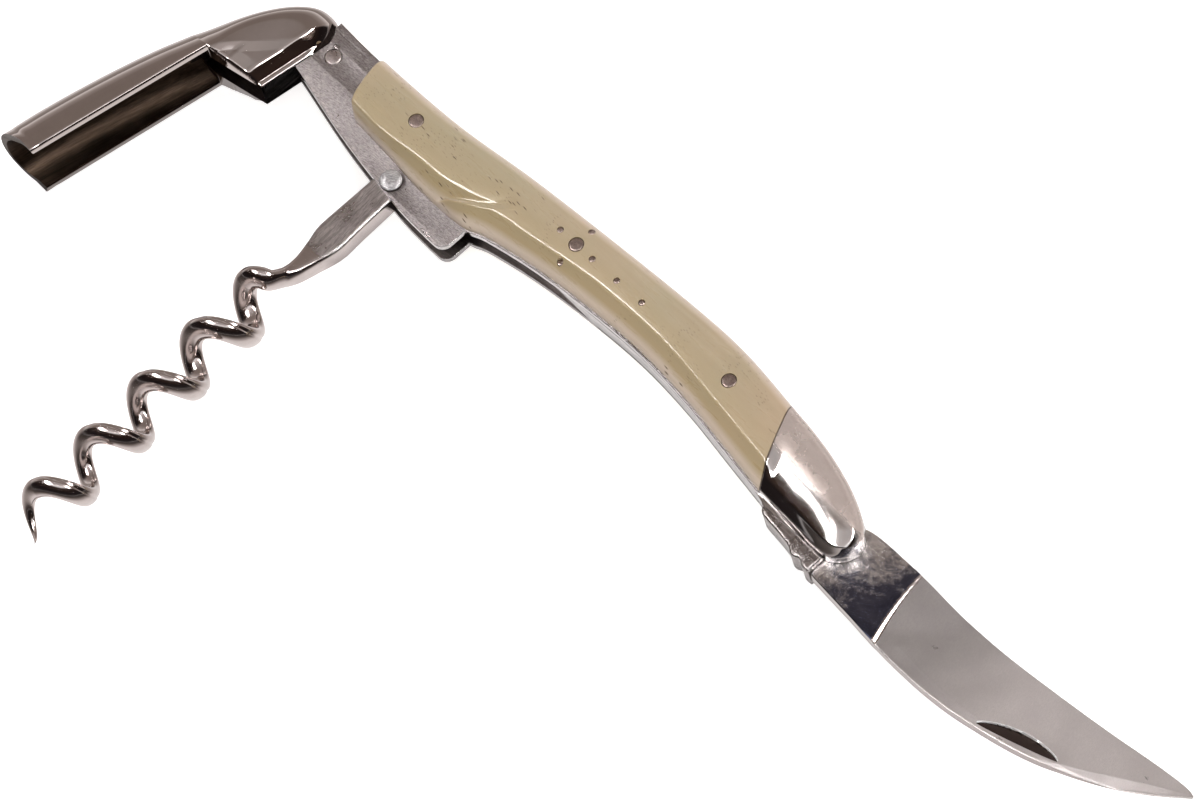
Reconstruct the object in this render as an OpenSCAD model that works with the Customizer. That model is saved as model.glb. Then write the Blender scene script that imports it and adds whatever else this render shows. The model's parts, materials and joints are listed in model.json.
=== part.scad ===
// Waiter's corkscrew: a folding bar tool with a knife blade, a worm and a bottle-lip lever,
// all three opened out. It lies flat on its rear face. +Z is up through the thickness,
// +X runs along the handle from the lever pivot towards the blade pivot, +Y is the convex
// back of the handle. The origin is on the rear face, under the centre rivet. Millimetres.
// "Front" and "rear" mean the +Z and -Z halves, but front_rivet and rear_rivets are named
// along the handle: the front rivet is near the lever, the rear ones are near the blade.

/* [Handle] */
// Overall thickness of the handle over both scales
handle_t = 13; // [12.5:0.1:14]
// Clear gap between the two liners
gap_w = 2.8; // [2.7:0.05:3]
// Thickness of one liner
liner_t = 1.0; // [0.9:0.05:1.1]
// Amount by which the liners stand proud of the scales on the concave side
liner_lip = 0.3; // [0.1:0.05:0.5]
// Height of the upright edge of a scale on the concave side
scale_rim = 0.7; // [0.4:0.1:1.2]

/* [Pins and rivets] */
// Radius of the blade pivot pin
blade_pin_r = 1.5; // [1.3:0.05:1.6]
// Radius of the lever pivot pin
lever_pin_r = 1.6; // [1.4:0.05:1.7]
// Radius of the worm pivot pin inside the liners
worm_pin_r = 1.4; // [1.2:0.05:1.5]
// Radius of the raised head of the worm pivot pin
worm_head_r = 1.75; // [1.65:0.05:1.9]
// Radius of the flush lever stop pin
stop_pin_r = 1.2; // [1:0.05:1.3]
// Radius of the handle rivets
rivet_r = 1.05; // [0.9:0.05:1.15]
// Radius of the small inlaid pins
inlay_r = 0.45; // [0.4:0.05:0.5]
// Radial running clearance at each pivot
run_c = 0.05; // [0.02:0.01:0.08]

/* [Blade] */
// Thickness of the blade at the ricasso
blade_t = 2.6; // [2.3:0.05:2.6]
// Thickness left at the cutting edge
edge_t = 0.3; // [0.2:0.05:0.5]

/* [Worm] */
// Radius of the wire
wire_r = 1.3; // [1.2:0.05:1.4]
// Radius of the coil, measured to the middle of the wire
coil_r = 3.15; // [2.9:0.05:3.3]
// Advance of the coil for one turn
pitch = 11; // [10.5:0.1:11.2]
// Number of turns of the coil
turns = 4.7; // [4.5:0.05:4.8]
// Lean of the open worm from the handle's normal, in degrees
worm_lean = 3.3; // [3:0.1:4]
// Distance of the coil's axis from the worm pivot
coil_set = 2.4; // [2.2:0.1:2.6]

/* [Lever] */
// Width of the lever's gutter
lever_w = 12.4; // [12:0.1:12.8]
// Wall thickness of the lever's gutter
lever_wall = 1.2; // [1:0.05:1.4]
// Width of the lever over its cheeks at the pivot
dome_w = 8.8; // [8.4:0.1:9.4]
// Reach of the claw past the side walls
claw = 0.9; // [0.5:0.1:1.8]
// Clearance between a lever cheek and its liner
cheek_c = 0.1; // [0.05:0.01:0.15]

/* [Hidden] */
$fn = 64;

// levels through the thickness
mid = handle_t / 2;
gap_low = mid - gap_w / 2;
gap_high = mid + gap_w / 2;
liner_low = gap_low - liner_t;
liner_high = gap_high + liner_t;
crown = handle_t - liner_high; // height of a scale over its liner
leaf_play = 0.1;
leaf_low = gap_low + leaf_play;
leaf_high = gap_high - leaf_play;
overcut = 1;                   // run of a cutter past the face it cuts
flush_drop = 0.02;             // drop of a flush pin end below its surface

// pivots and fixings, x and y
lever_pivot = [-55.8, -3.3];
blade_pivot = [57.7, -2.9];
worm_pivot = [-29, -10.6];
stop_at = [-50.3, -2.9];
front_rivet_at = [-31.7, -2.5];
centre_rivet_at = [0, 0];
rear_rivet_at = [32, 0.4];
rivets_at = [front_rivet_at, centre_rivet_at, rear_rivet_at];
// inlaid pins: x, y, drop of the outer end below the handle's face
inlays = [[0.1, 2.9, 0.15], [-0.15, -3.2, 1.72], [-3.4, 0, flush_drop], [3.4, 0, flush_drop],
    [8.5, 0.1, flush_drop], [13.7, 0.2, flush_drop]];
inlay_depth = 2.6;
blade_pin_drop = 0.25;
worm_head_h = 0.7;

// ---- curves ----
function mix(a, b, t) = a + (b - a) * t;
function reversed(list) = [for (i = [len(list) - 1:-1:0]) list[i]];
function catmull_rom(a, b, c, d, t) =
    0.5 * (2 * b + (c - a) * t + (2 * a - 5 * b + 4 * c - d) * t * t
        + (3 * b - a - 3 * c + d) * t * t * t);
// smooth curve through all points, in equal steps between neighbours
function spline(points, steps = 5) = let (last = len(points) - 1) [
    for (i = [0:last - 1], k = [0:steps - 1])
        catmull_rom(points[max(i - 1, 0)], points[i], points[i + 1],
            points[min(i + 2, last)], k / steps),
    points[last]];
function arc(centre, radius, start, end, steps) = [for (k = [0:steps])
    let (angle = mix(start, end, k / steps)) centre + radius * [cos(angle), sin(angle)]];
// point of a line at share t of its segments
function along(line, t) =
    let (s = t * (len(line) - 1), i = min(floor(s), len(line) - 2))
    mix(line[i], line[i + 1], s - i);
// 0 up to start, then rising to 1 at t = 1
function ease(t, start, power) = pow(max(0, (t - start) / (1 - start)), power);

// ---- rings and skins ----
// flat row of points raised to base plus its heights
function lift(row, base, heights) =
    [for (j = [0:len(row) - 1]) [row[j][0], row[j][1], base + heights[j]]];
// ring with a flat underside on the front liner
function liner_ring(row, heights) = concat(
    lift(row, liner_high, heights), reversed(lift(row, liner_high, 0 * heights)));
// ring with equal heights to both sides of the middle plane
function centred_ring(row, heights) = concat(
    lift(row, mid, heights), reversed(lift(row, mid, -heights)));

// closed skin over rings of equal length; ring point j faces ring point 2k-1-j
module skin(rings) {
    n = len(rings[0]);
    last = len(rings) - 1;
    function id(i, j) = i * n + j % n;
    polyhedron(points = [for (ring = rings, p = ring) p], faces = concat(
        [for (i = [0:last - 1], j = [0:n - 1]) [id(i, j), id(i, j + 1), id(i + 1, j + 1)]],
        [for (i = [0:last - 1], j = [0:n - 1]) [id(i, j), id(i + 1, j + 1), id(i + 1, j)]],
        [for (j = [0:n / 2 - 2]) [n - 1 - j, n - 2 - j, j + 1, j]],
        [for (j = [0:n / 2 - 2])
            [id(last, j), id(last, j + 1), id(last, n - 2 - j), id(last, n - 1 - j)]]));
}

// flips a front half into the matching rear half
module rear() translate([0, 0, handle_t]) mirror([0, 0, 1]) children();
module pin(place, radius, low, high)
    translate([place[0], place[1], low]) cylinder(r = radius, h = high - low);
module slab(low, high) translate([0, 0, low]) linear_extrude(high - low) children();

// ---- handle outlines, x and y ----
shoulder_x = -53.6;
// ends of the slanted joint between scale and bolster
joint_back = [41, 4.3];
joint_low = [46.5, -7.6];
// convex back, from the shoulder above the lever pivot to the bolster
back_line = spline([[shoulder_x, 1.6], [-44, 1.3], [-28, 1.7], [-13, 3.3], [4, 4.6],
    [20, 5.5], [30, 5.5], joint_back]);
// concave side of the scales, from the lever end to the bolster
low_line = spline([[-46, -7.4], [-34, -8.1], [-25, -8.8], [-16.5, -8.6], [-12, -7.2],
    [-3, -5.6], [8, -4.6], [18, -4.3], [28, -5.0], [38, -6.4], joint_low]);
// ridge between the two facets of a scale
ridge_line = spline([[-46, -6.2], [-34, -6.3], [-24, -6.1], [-16, -5], [-4, -2.6],
    [8, -1.6], [20, -1.6], [32, -2.9], [46, -4.6]]);
// convex and concave outlines of the bolster, both ending at its nose
nose_back = spline([joint_back, [46, 3.7], [51, 2.8], [56, 1.4], [60, -0.3], [62.5, -2],
    [63.6, -4]]);
nose_low = spline([joint_low, [50, -7.8], [54, -8], [58, -8.3], [61, -8], [62.9, -6.4],
    [63.6, -4.4]]);
// concave side of the liners over a span of x
function proud_line(x_from, x_to) =
    [for (p = low_line) if (p[0] > x_from && p[0] < x_to) p - [0, liner_lip]];

// ---- liners ----
lug_r = 3.85;       // round lug about the lever pivot
lug_trim_x = -57.5; // from here to the shoulder the lug is cut off above lug_trim_y
lug_trim_y = 0.5;
// hump around the worm pivot, running on to the lever end
hump = concat([[-15.3, -8.6]], arc([-17, -11.4], 1.7, 0, -90, 8),
    spline([[-19, -13.1], [-26, -12.7], [-39, -10.8], [-51.5, -8.1], [-57, -6.95]]));
// place and radius of each hole
liner_holes = concat(
    [[lever_pivot, lever_pin_r + run_c], [blade_pivot, blade_pin_r],
        [worm_pivot, worm_pin_r], [stop_at, stop_pin_r]],
    [for (place = rivets_at) [place, rivet_r]]);

module liner() {
    difference() {
        union() {
            slab(gap_high, liner_high)
                polygon(concat([[shoulder_x, -4]], back_line, nose_back, reversed(nose_low),
                    reversed(proud_line(-14.8, 46)), hump));
            pin(lever_pivot, lug_r, gap_high, liner_high);
        }
        translate([lug_trim_x, lug_trim_y, gap_high - overcut])
            cube([shoulder_x - lug_trim_x, 3, liner_t + 2 * overcut]);
        for (hole = liner_holes)
            pin(hole[0], hole[1], gap_high - overcut, liner_high + overcut);
    }
}
module liner_front() { color("silver") liner(); }
module liner_rear() { color("silver") rear() liner(); }

// ---- scales ----
// edge of a scale at the lever end: y, x
front_edge = [[-9, -38], [-8, -39.4], [-7.3, -40.7], [-6, -41.8], [-3, -42.6], [2, -43.5],
    [4, -43.8]];
function joint_x(y) =
    mix(joint_back[0], joint_low[0], (joint_back[1] - y) / (joint_back[1] - joint_low[1]));
function station_x(y, t) = mix(lookup(y, front_edge), joint_x(y), t);
// y of row j at x; the seven rows run from the concave side to the back
function row_y(x, j) =
    let (low = lookup(x, low_line), back = lookup(x, back_line), ridge = lookup(x, ridge_line))
    [low, ridge - 0.15, ridge + 0.9, mix(ridge, back, 0.3), mix(ridge, back, 0.64),
        back - 0.9, back][j];
// x and y depend on each other, so a rough x is refined twice
function row_point(t, j) = let (
        rough_x = mix(-44, 44, t),
        near_x = station_x(row_y(rough_x, j), t),
        x = station_x(row_y(near_x, j), t))
    [x, row_y(x, j)];
scale_heights = [scale_rim, 0.72 * crown, 0.92 * crown, crown + 0.15, crown + 0.15,
    0.9 * crown, 0.5 * crown];

module scale() {
    difference() {
        // the box cuts the flat land on which the tool rests
        intersection() {
            skin([for (i = [0:34])
                liner_ring([for (j = [0:6]) row_point(i / 34, j)], scale_heights)]);
            translate([-60, -30, 0]) cube([120, 60, handle_t]);
        }
        for (place = rivets_at)
            pin(place, rivet_r, liner_high - overcut, handle_t + overcut);
        for (inlay = inlays)
            pin(inlay, inlay_r, handle_t - inlay_depth, handle_t + overcut);
    }
}
module scale_front() { color("wheat") scale(); }
module scale_rear() { color("wheat") rear() scale(); }

// ---- bolsters ----
function bolster_ring(t) = let (
        low = along(nose_low, t),
        back = along(nose_back, t),
        height = crown * sqrt(max(1 - pow(t, 5), 0.12)),
        rim = scale_rim / crown)
    liner_ring([for (share = [0, 0.24, 0.34, 0.52, 0.7, 0.91, 1]) mix(low, back, share)],
        height * [max(rim, mix(rim, 0.55, t)), 0.76, 0.92, 1, 1, 0.9, 0.5]);
module bolster() {
    difference() {
        skin([for (i = [0:26]) bolster_ring(i / 26)]);
        pin(blade_pivot, blade_pin_r, liner_high - overcut, handle_t + overcut);
    }
}
module bolster_front() { color("gainsboro") bolster(); }
module bolster_rear() { color("gainsboro") rear() bolster(); }

// ---- springs ----
tang_r = 4.6;
tang_seat_r = 4.75;   // hollow in the back spring around the blade tang
centre_eye_r = 1.75;  // metal around the centre rivet
centre_web_h = 3.2;   // web from the centre rivet down into the leaf
front_eye_r = 2.3;    // metal around the front rivet
back_leaf = concat(proud_line(-13, 46),
    [[47, -8.1], [48.5, -8.9], [60.3, -8.9], [60.3, -8], [53.4, -6.2]],
    reversed(spline([[-22, -5.6], [-13, -4.3], [-4, -2.4], [6, -2], [18, -1.7], [30, -2.9],
        [42, -4.7], [52, -6]])),
    [[-26, -6.4], [-26, -7.5], [-17, -7.3]]);
back_boss = concat([[48, -8.5], [49.2, -10.6]], arc([51, -10.3], 1.2, 200, 270, 4),
    arc([55.3, -10.2], 1.5, 230, 300, 4), arc([58.4, -10.3], 1.3, 230, 310, 4),
    [[60.3, -11.1], [60.3, -8.7], [54, -8.4]]);
lever_leaf = concat([[-51.9, -0.6], [-51.9, 1.2]],
    [for (p = back_line) if (p[0] > -51 && p[0] < -15) p - [0, 0.25]],
    [[-14, 2.6], [-15, 1.2], [-26, -0.5], [-40, -0.6]]);

// leaf along the concave side: bears on both tangs, fixed by the centre rivet
module back_spring() {
    color("silver") difference() {
        union() {
            slab(leaf_low, leaf_high) polygon(back_leaf);
            pin(centre_rivet_at, centre_eye_r, leaf_low, leaf_high);
            translate([-centre_eye_r, -centre_web_h, leaf_low])
                cube([2 * centre_eye_r, centre_web_h, leaf_high - leaf_low]);
            // forged boss that closes the end of the spring
            slab(liner_low, liner_high) polygon(back_boss);
        }
        pin(centre_rivet_at, rivet_r, gap_low - overcut, gap_high + overcut);
        pin(blade_pivot, tang_seat_r, gap_low - 0.5, gap_high + 0.5);
    }
}
// leaf along the convex side: bears on the lever cam, fixed by the front rivet
module lever_spring() {
    color("silver") difference() {
        union() {
            slab(leaf_low, leaf_high) polygon(lever_leaf);
            pin(front_rivet_at, front_eye_r, leaf_low, leaf_high);
        }
        pin(front_rivet_at, rivet_r, gap_low - overcut, gap_high + overcut);
    }
}

// ---- pins and rivets ----
module rivet(place) pin(place, rivet_r, flush_drop, handle_t - flush_drop);
module inlay_pins() {
    for (inlay = inlays) pin(inlay, inlay_r, handle_t - inlay_depth, handle_t - inlay[2]);
}
module lever_stop_pin() { color("silver") pin(stop_at, stop_pin_r, liner_low, liner_high); }
module front_rivet() { color("silver") rivet(front_rivet_at); }
module centre_rivet() { color("silver") rivet(centre_rivet_at); }
// two short rivets that leave the gap between the liners free
module rear_rivets() {
    color("silver") {
        pin(rear_rivet_at, rivet_r, gap_high, handle_t - flush_drop);
        pin(rear_rivet_at, rivet_r, flush_drop, gap_low);
    }
}
module inlay_pins_front() { color("silver") inlay_pins(); }
module inlay_pins_rear() { color("silver") rear() inlay_pins(); }
module blade_pivot_pin() {
    color("silver") pin(blade_pivot, blade_pin_r, blade_pin_drop, handle_t - blade_pin_drop);
}
module worm_pivot_pin() {
    color("silver") {
        pin(worm_pivot, worm_pin_r, liner_low, liner_high);
        pin(worm_pivot, worm_head_r, liner_high, liner_high + worm_head_h);
        pin(worm_pivot, worm_head_r, liner_low - worm_head_h, liner_low);
    }
}

// ---- blade ----
// cutting edge (+Y side) and spine (-Y side), from the ricasso to the tip
cut_line = spline([[69.5, -0.3], [74, -0.35], [81.4, -0.5], [89.5, -0.3], [98.9, 0.5],
    [108.2, 1.5], [117.3, 2.7], [122.5, 3.15], [124.3, 2.9]], 4);
spine_line = spline([[69.5, -11.7], [74, -12.1], [79, -12.35], [86, -12.25], [93, -11.4],
    [102.9, -9.2], [113.1, -5.2], [119.5, -1.3], [124.3, 2.6]], 4);
tang_limit = [[52, -9], [64, -9], [64, -2.5], [62.3, -2.2], [60, -0.7], [56, 1], [52, 2.2]];
ricasso = [[58, -0.3], [61.2, -1.4], [62.2, -0.6], [63.7, -0.35], [70, -0.3], [70, -11.75],
    [60.45, -11], [60.45, -7], [58, -7]];
function blade_ring(i) = let (
        t = i / (len(cut_line) - 1),
        grind = min(max((t - 0.06) / 0.1, 0), 1), // 0 at the ricasso, 1 where fully ground
        thick = blade_t * (1 - 0.72 * pow(t, 2.2)),
        edge = mix(thick, edge_t, grind))
    centred_ring([for (share = [0, 0.12, 0.5, 1]) mix(spine_line[i], cut_line[i], share)],
        [0.82 * thick, thick, mix(thick, edge, 0.5), edge] / 2);
module blade() {
    blade_low = mid - blade_t / 2;
    blade_high = mid + blade_t / 2;
    color("lightgray") difference() {
        union() {
            // tang, flattened so that it stays under the bolster nose while open
            intersection() {
                pin(blade_pivot, tang_r, blade_low, blade_high);
                slab(0, handle_t) polygon(tang_limit);
            }
            slab(blade_low, blade_high) polygon(ricasso);
            skin([for (i = [0:len(cut_line) - 1]) blade_ring(i)]);
        }
        pin(blade_pivot, blade_pin_r + run_c, 0, handle_t);
    }
}

// ---- worm: modelled about its pivot with the coil's axis along -Y, then leaned ----
worm_eye_r = 3;
coil_top = 21.4; // distance from the pivot to the start of the coil
coil_steps = 110;
shank = [[-2.75, 0.5], [1.9, 0.5], [1.75, -11.8], [1.4, -13.6], [0.1, -17.5], [-0.7, -19.5],
    [-1.3, -21.6], [-2.6, -22.2], [-3.3, -20.8], [-2.3, -19.3], [-2.5, -17.4], [-3.3, -14],
    [-3.55, -11.7]];
// middle of the wire after s turns; the coil opens out at its start and narrows at its end
function coil_point(s) = let (
        angle = 360 * s + 65,
        spread = s < 0.25 ? s / 0.25
            : s > turns - 0.5 ? mix(1, 0.6, (s - turns + 0.5) / 0.5) : 1,
        radius = coil_r * sin(90 * spread))
    [-coil_set + radius * cos(angle), -coil_top - pitch * s, radius * sin(angle)];
function unit(v) = v / norm(v);
// round section of the wire, tapering to a point over the last part of a turn
function wire_ring(s) = let (
        radius = wire_r * min(1, max(0.08, (turns - s) / 0.55)),
        tangent = unit(coil_point(s + 0.01) - coil_point(s - 0.01)),
        side = unit(cross(tangent, [0, 1, 0])),
        normal = cross(tangent, side))
    [for (k = [0:11]) coil_point(s) + radius * (cos(30 * k) * side - sin(30 * k) * normal)];
module worm() {
    low = leaf_low - mid;
    high = leaf_high - mid;
    color("silver") translate([worm_pivot[0], worm_pivot[1], mid]) rotate([0, 0, worm_lean])
        difference() {
            union() {
                pin([0, 0], worm_eye_r, low, high);
                slab(low, high) polygon(shank);
                skin([for (i = [0:coil_steps]) wire_ring(i / coil_steps * turns)]);
            }
            pin([0, 0], worm_pin_r + run_c, -mid, mid);
        }
}

// ---- lever: a domed head with cheeks over the liners, and a gutter ending in a claw ----
lever_half = lever_w / 2;
dome_half = dome_w / 2;
// outer outline of the head, over the pivot and down its -X side, and of the gutter below
dome_line = spline([[-52.3, -1.4], [-52.9, 0.2], [-54, 1.2], [-55.8, 1.7], [-58.1, 1.35],
    [-60.5, -0.5], [-62.9, -3.6], [-65.2, -7.7], [-67.8, -13.4], [-68.6, -15.2]], 3);
gutter_line = spline([[-68, -13.9], [-70.2, -19.3], [-72.1, -25.2], [-73.8, -31.4],
    [-75.3, -37.8], [-76.5, -43.9]], 3);
// free edge of the side walls: start and end on the cheeks, end on the gutter
cheek_start = [-54.2, -13.5];
cheek_end = [-63.2, -15.2];
gutter_end = [-69, -44];
lug_slot_r = 4.05; // slot around the lugs of the liners
liner_slot = concat([[-53.9, 0.8], [-53.9, 3], [-48, 3], [-48, -17], [-66.6, -17],
    [-66.4, -14.2], [-63.2, -7.5], [-61.3, -4]], arc(lever_pivot, lug_slot_r, 172, 98, 9));

function dome_ring(t) = let (
        outer = along(dome_line, t),
        free = mix(cheek_start, cheek_end, min(1, pow(t, 1.3))),
        depth = norm(free - outer),
        corner = min(5, depth - 0.6),
        half = mix(dome_half, lever_half, ease(t, 0.5, 1.5)),
        free_half = mix(dome_half, lever_half, ease(t, 0.86, 2)),
        angles = [4, 14, 28, 45, 62, 78, 90],
        depths = concat([for (a = angles) corner * (1 - cos(a))], [depth]))
    centred_ring([for (d = depths) mix(outer, free, d / depth)], concat(
        [for (a = angles) mix(half, min(half, free_half), a / 90) * sin(a)], [free_half]));

// one face of the gutter wall, set in from the outer face by inset
function gutter_face(outer, inward, depth, corner, half, reach, inset) = let (
        across = [-inward[1], inward[0]],
        // depth from the outline, height from the middle plane, reach of the claw
        row = concat([[depth, half - inset, 0]],
            [for (a = [90, 66, 42, 20, 0, -20, -42, -66, -90])
                [inset + (corner - inset) * (1 - cos(a)), (half - inset) * sin(a),
                    reach * cos(a)]],
            [[depth, inset - half, 0]]))
    lift([for (q = row) outer + inward * q[0] - across * q[2]], mid, [for (q = row) q[1]]);
function gutter_ring(t) = let (
        outer = along(gutter_line, t),
        free = mix(cheek_end + [0.2, 0.9], gutter_end, t),
        depth = norm(free - outer),
        inward = (free - outer) / depth,
        corner = min(5.6, depth - 0.5),
        half = mix(lever_half, min(mid, lever_half + 0.3), t),
        reach = claw * ease(t, 0.8, 2))
    concat(gutter_face(outer, inward, depth, corner, half, reach, 0),
        reversed(gutter_face(outer, inward, depth, corner, half, reach, lever_wall)));

module lever_shell() {
    color("gainsboro") difference() {
        union() {
            skin([for (i = [0:24]) dome_ring(i / 24)]);
            skin([for (i = [0:18]) reversed(gutter_ring(i / 18))]);
        }
        // slot that passes over the liners
        slab(liner_low - cheek_c, liner_high + cheek_c) polygon(liner_slot);
        pin(lever_pivot, lever_pin_r, -overcut, handle_t + overcut);
    }
}
// round cam with four flats
module lever_cam() {
    color("silver") difference() {
        slab(leaf_low, leaf_high) intersection() {
            translate(lever_pivot) circle(r = 3.3);
            translate(lever_pivot) rotate(30) square([5.9, 5.9], center = true);
        }
        pin(lever_pivot, lever_pin_r, 0, handle_t);
    }
}
module lever_pivot_pin() {
    reach = dome_half - flush_drop;
    color("silver") pin(lever_pivot, lever_pin_r, mid - reach, mid + reach);
}

liner_front();
liner_rear();
scale_front();
scale_rear();
bolster_front();
bolster_rear();
back_spring();
lever_spring();
lever_stop_pin();
front_rivet();
centre_rivet();
rear_rivets();
inlay_pins_front();
inlay_pins_rear();
blade_pivot_pin();
worm_pivot_pin();
blade();
worm();
lever_shell();
lever_cam();
lever_pivot_pin();
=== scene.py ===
"""A folding pocket knife with bone scales, a blade, a corkscrew worm and a hollow lever.

It lies flat on its rear side with the handle along x. The blade is opened towards +x with its
cutting edge on the +y side, the worm is drawn out towards -y, and the lever hangs towards -y
from the -x end of the handle. z is the thickness: "front" pieces are the upper ones, "rear"
pieces the lower ones. Shapes are worked out in mm and become metres when a mesh is made.
"""
import bpy
import bmesh
import json
import math
import numpy as np
from mathutils import Matrix, Vector


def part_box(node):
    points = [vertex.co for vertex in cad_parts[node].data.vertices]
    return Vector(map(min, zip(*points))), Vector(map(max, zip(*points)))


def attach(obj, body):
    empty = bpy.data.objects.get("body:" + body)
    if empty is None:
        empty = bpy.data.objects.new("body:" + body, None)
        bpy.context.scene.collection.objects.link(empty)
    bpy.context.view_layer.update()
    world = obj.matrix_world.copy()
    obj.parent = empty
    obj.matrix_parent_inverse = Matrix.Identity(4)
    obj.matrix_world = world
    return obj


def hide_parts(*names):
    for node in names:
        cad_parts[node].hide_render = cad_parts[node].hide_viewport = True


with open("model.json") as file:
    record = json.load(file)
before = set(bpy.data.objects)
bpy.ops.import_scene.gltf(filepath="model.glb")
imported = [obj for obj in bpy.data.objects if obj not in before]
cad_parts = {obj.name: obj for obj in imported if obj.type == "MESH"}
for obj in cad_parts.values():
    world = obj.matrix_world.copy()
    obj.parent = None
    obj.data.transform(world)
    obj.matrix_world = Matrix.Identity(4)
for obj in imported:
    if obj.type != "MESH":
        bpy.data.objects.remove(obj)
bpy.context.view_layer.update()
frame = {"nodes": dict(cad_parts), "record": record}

MM = 0.001


# ---------------------------------------------------------------- places and levels, in mm
def cad_box(node):
    """Low and high corners of a CAD piece."""
    low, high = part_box(node)
    return np.array(low) / MM, np.array(high) / MM


def cad_middle(node):
    low, high = cad_box(node)
    return ((low + high) / 2)[:2]


JOINTS = {joint["name"]: (np.array(joint["pos_m"]) / MM)[:2]
          for joint in frame["record"]["behaviour"]["joints"]}
LEVER_PIVOT, BLADE_PIVOT, WORM_PIVOT = (
    JOINTS[name] for name in ("lever_pivot", "blade_pivot", "worm_pivot"))
STOP_PIN = cad_middle("lever_stop_pin")
RIVETS = {"front": cad_middle("front_rivet"), "centre": cad_middle("centre_rivet"),
          "rear": cad_middle("rear_rivets")}
INLAY_PINS = [(0.1, 2.9), (-0.15, -3.2), (-3.4, 0), (3.4, 0), (8.5, 0.1), (13.7, 0.2)]

LINER_BOTTOM, GAP_BOTTOM = (corner[2] for corner in cad_box("liner_rear"))
GAP_TOP, LINER_TOP = (corner[2] for corner in cad_box("liner_front"))
TOP = cad_box("scale_front")[1][2]
MID = (LINER_BOTTOM + LINER_TOP) / 2
LEAF_BOTTOM, LEAF_TOP = cad_box("back_spring")[0][2], LINER_TOP - 1.1
BLADE_HALF = (cad_box("blade")[1][2] - cad_box("blade")[0][2]) / 2

RIVET_R, INLAY_R, STOP_R, BLADE_PIN_R, WORM_PIN_R = 1.05, 0.45, 1.2, 1.5, 1.4

# heights over the liner, shared by scales and bolsters
CROWN = TOP - LINER_TOP      # highest point
RIM = 0.7                    # at the low edge
RIDGE = 3.45                 # where the flank meets the crown
HIGH_RIM = 1.55              # at the high edge
HIGH_ROUND = 2.6             # width of the rounding along the high edge
LIP_R = 0.35                 # rounding of the low edge


# ---------------------------------------------------------------- curves
def spline(points, steps):
    """Smooth curve through the points, with `steps` samples for each span."""
    points = np.array(points, float)
    last = len(points) - 1
    out = []
    for i in range(last):
        before, start = points[max(i - 1, 0)], points[i]
        end, after = points[i + 1], points[min(i + 2, last)]
        for j in range(steps):
            share = j / steps
            out.append(0.5 * (2 * start + (end - before) * share
                              + (2 * before - 5 * start + 4 * end - after) * share * share
                              + (3 * start - before - 3 * end + after) * share ** 3))
    out.append(points[-1])
    return np.array(out)


def run_length(points):
    return np.r_[0, np.cumsum(np.linalg.norm(np.diff(points, axis=0), axis=1))]


def resample(points, count):
    """The same line with evenly spaced points."""
    length = run_length(points)
    even = np.linspace(0, length[-1], count)
    return np.stack([np.interp(even, length, column) for column in points.T], 1)


def point_at(line, share):
    """Point at a share of the line's point count."""
    place = np.clip(share, 0, 1) * (len(line) - 1)
    return np.stack([np.interp(place, np.arange(len(line)), column) for column in line.T], -1)


def arc(centre, radius, start, end, steps):
    angle = np.radians(np.linspace(start, end, steps + 1))
    return np.stack([centre[0] + radius * np.cos(angle), centre[1] + radius * np.sin(angle)], 1)


def smooth(share):
    share = np.clip(share, 0, 1)
    return share * share * (3 - 2 * share)


def soft_min(one, other, width):
    share = np.clip(0.5 + 0.5 * (other - one) / width, 0, 1)
    return other * (1 - share) + one * share - width * share * (1 - share)


def edge_drop(distance, radius):
    """How far a quarter-round edge falls at a distance in from the edge."""
    share = np.clip(distance / radius, 0, 1)
    return radius * (1 - np.sqrt(1 - (1 - share) ** 2))


def distance_to(line, points):
    nearest = np.full(len(points), 1e9)
    for start, end in zip(line[:-1], line[1:]):
        span = end - start
        share = np.clip(((points - start) @ span) / max(span @ span, 1e-12), 0, 1)
        gap = np.linalg.norm(points - (start + share[:, None] * span), axis=1)
        nearest = np.minimum(nearest, gap)
    return nearest


def inside(point, outline):
    """True if the point lies inside the closed outline."""
    x, y = point
    crossed = False
    j = len(outline) - 1
    for i in range(len(outline)):
        x_one, y_one = outline[i]
        x_two, y_two = outline[j]
        if (y_one > y) != (y_two > y):
            if x < (x_two - x_one) * (y - y_one) / (y_two - y_one) + x_one:
                crossed = not crossed
        j = i
    return crossed


def y_on(line, x):
    return np.interp(x, line[:, 0], line[:, 1])


def part_of(line, x_from, x_to):
    return line[(line[:, 0] > x_from) & (line[:, 0] < x_to)]


# ---------------------------------------------------------------- handle outline, (x, y)
high_edge = spline([[-53.6, 1.6], [-44, 1.3], [-28, 1.7], [-13, 3.3], [4, 4.6], [20, 5.5],
                    [30, 5.5], [41, 4.3]], 12)
low_edge = spline([[-46, -7.4], [-34, -8.1], [-25, -8.8], [-16.5, -8.6], [-12, -7.2],
                   [-3, -5.6], [8, -4.6], [18, -4.3], [28, -5.0], [38, -6.4],
                   [46.5, -7.6]], 12)
nose_high = spline([[41, 4.3], [46, 3.7], [51, 2.8], [56, 1.4], [60, -0.3], [62.5, -2],
                    [63.6, -4]], 12)
nose_low = spline([[46.5, -7.6], [50, -7.8], [54, -8], [58, -8.3], [61, -8], [62.9, -6.4],
                   [63.6, -4.4]], 12)
# -x end of the scales, (y, x)
scale_end = spline([[-9, -38], [-8, -39.4], [-7.3, -40.7], [-6, -41.8], [-3, -42.6],
                    [2, -43.5], [4, -43.8]], 8)
scale_end = scale_end[np.argsort(scale_end[:, 0])]


def joint_x(y):
    """x of the slanted joint between scale and bolster."""
    return 41 + 5.5 * (4.3 - y) / 11.9


def crown_edge(share):
    """Line along the bolster where its flank gives way to the crown."""
    low, high = point_at(nose_low, share), point_at(nose_high, share)
    return low + (0.46 + 0.24 * share) * (high - low)


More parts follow.
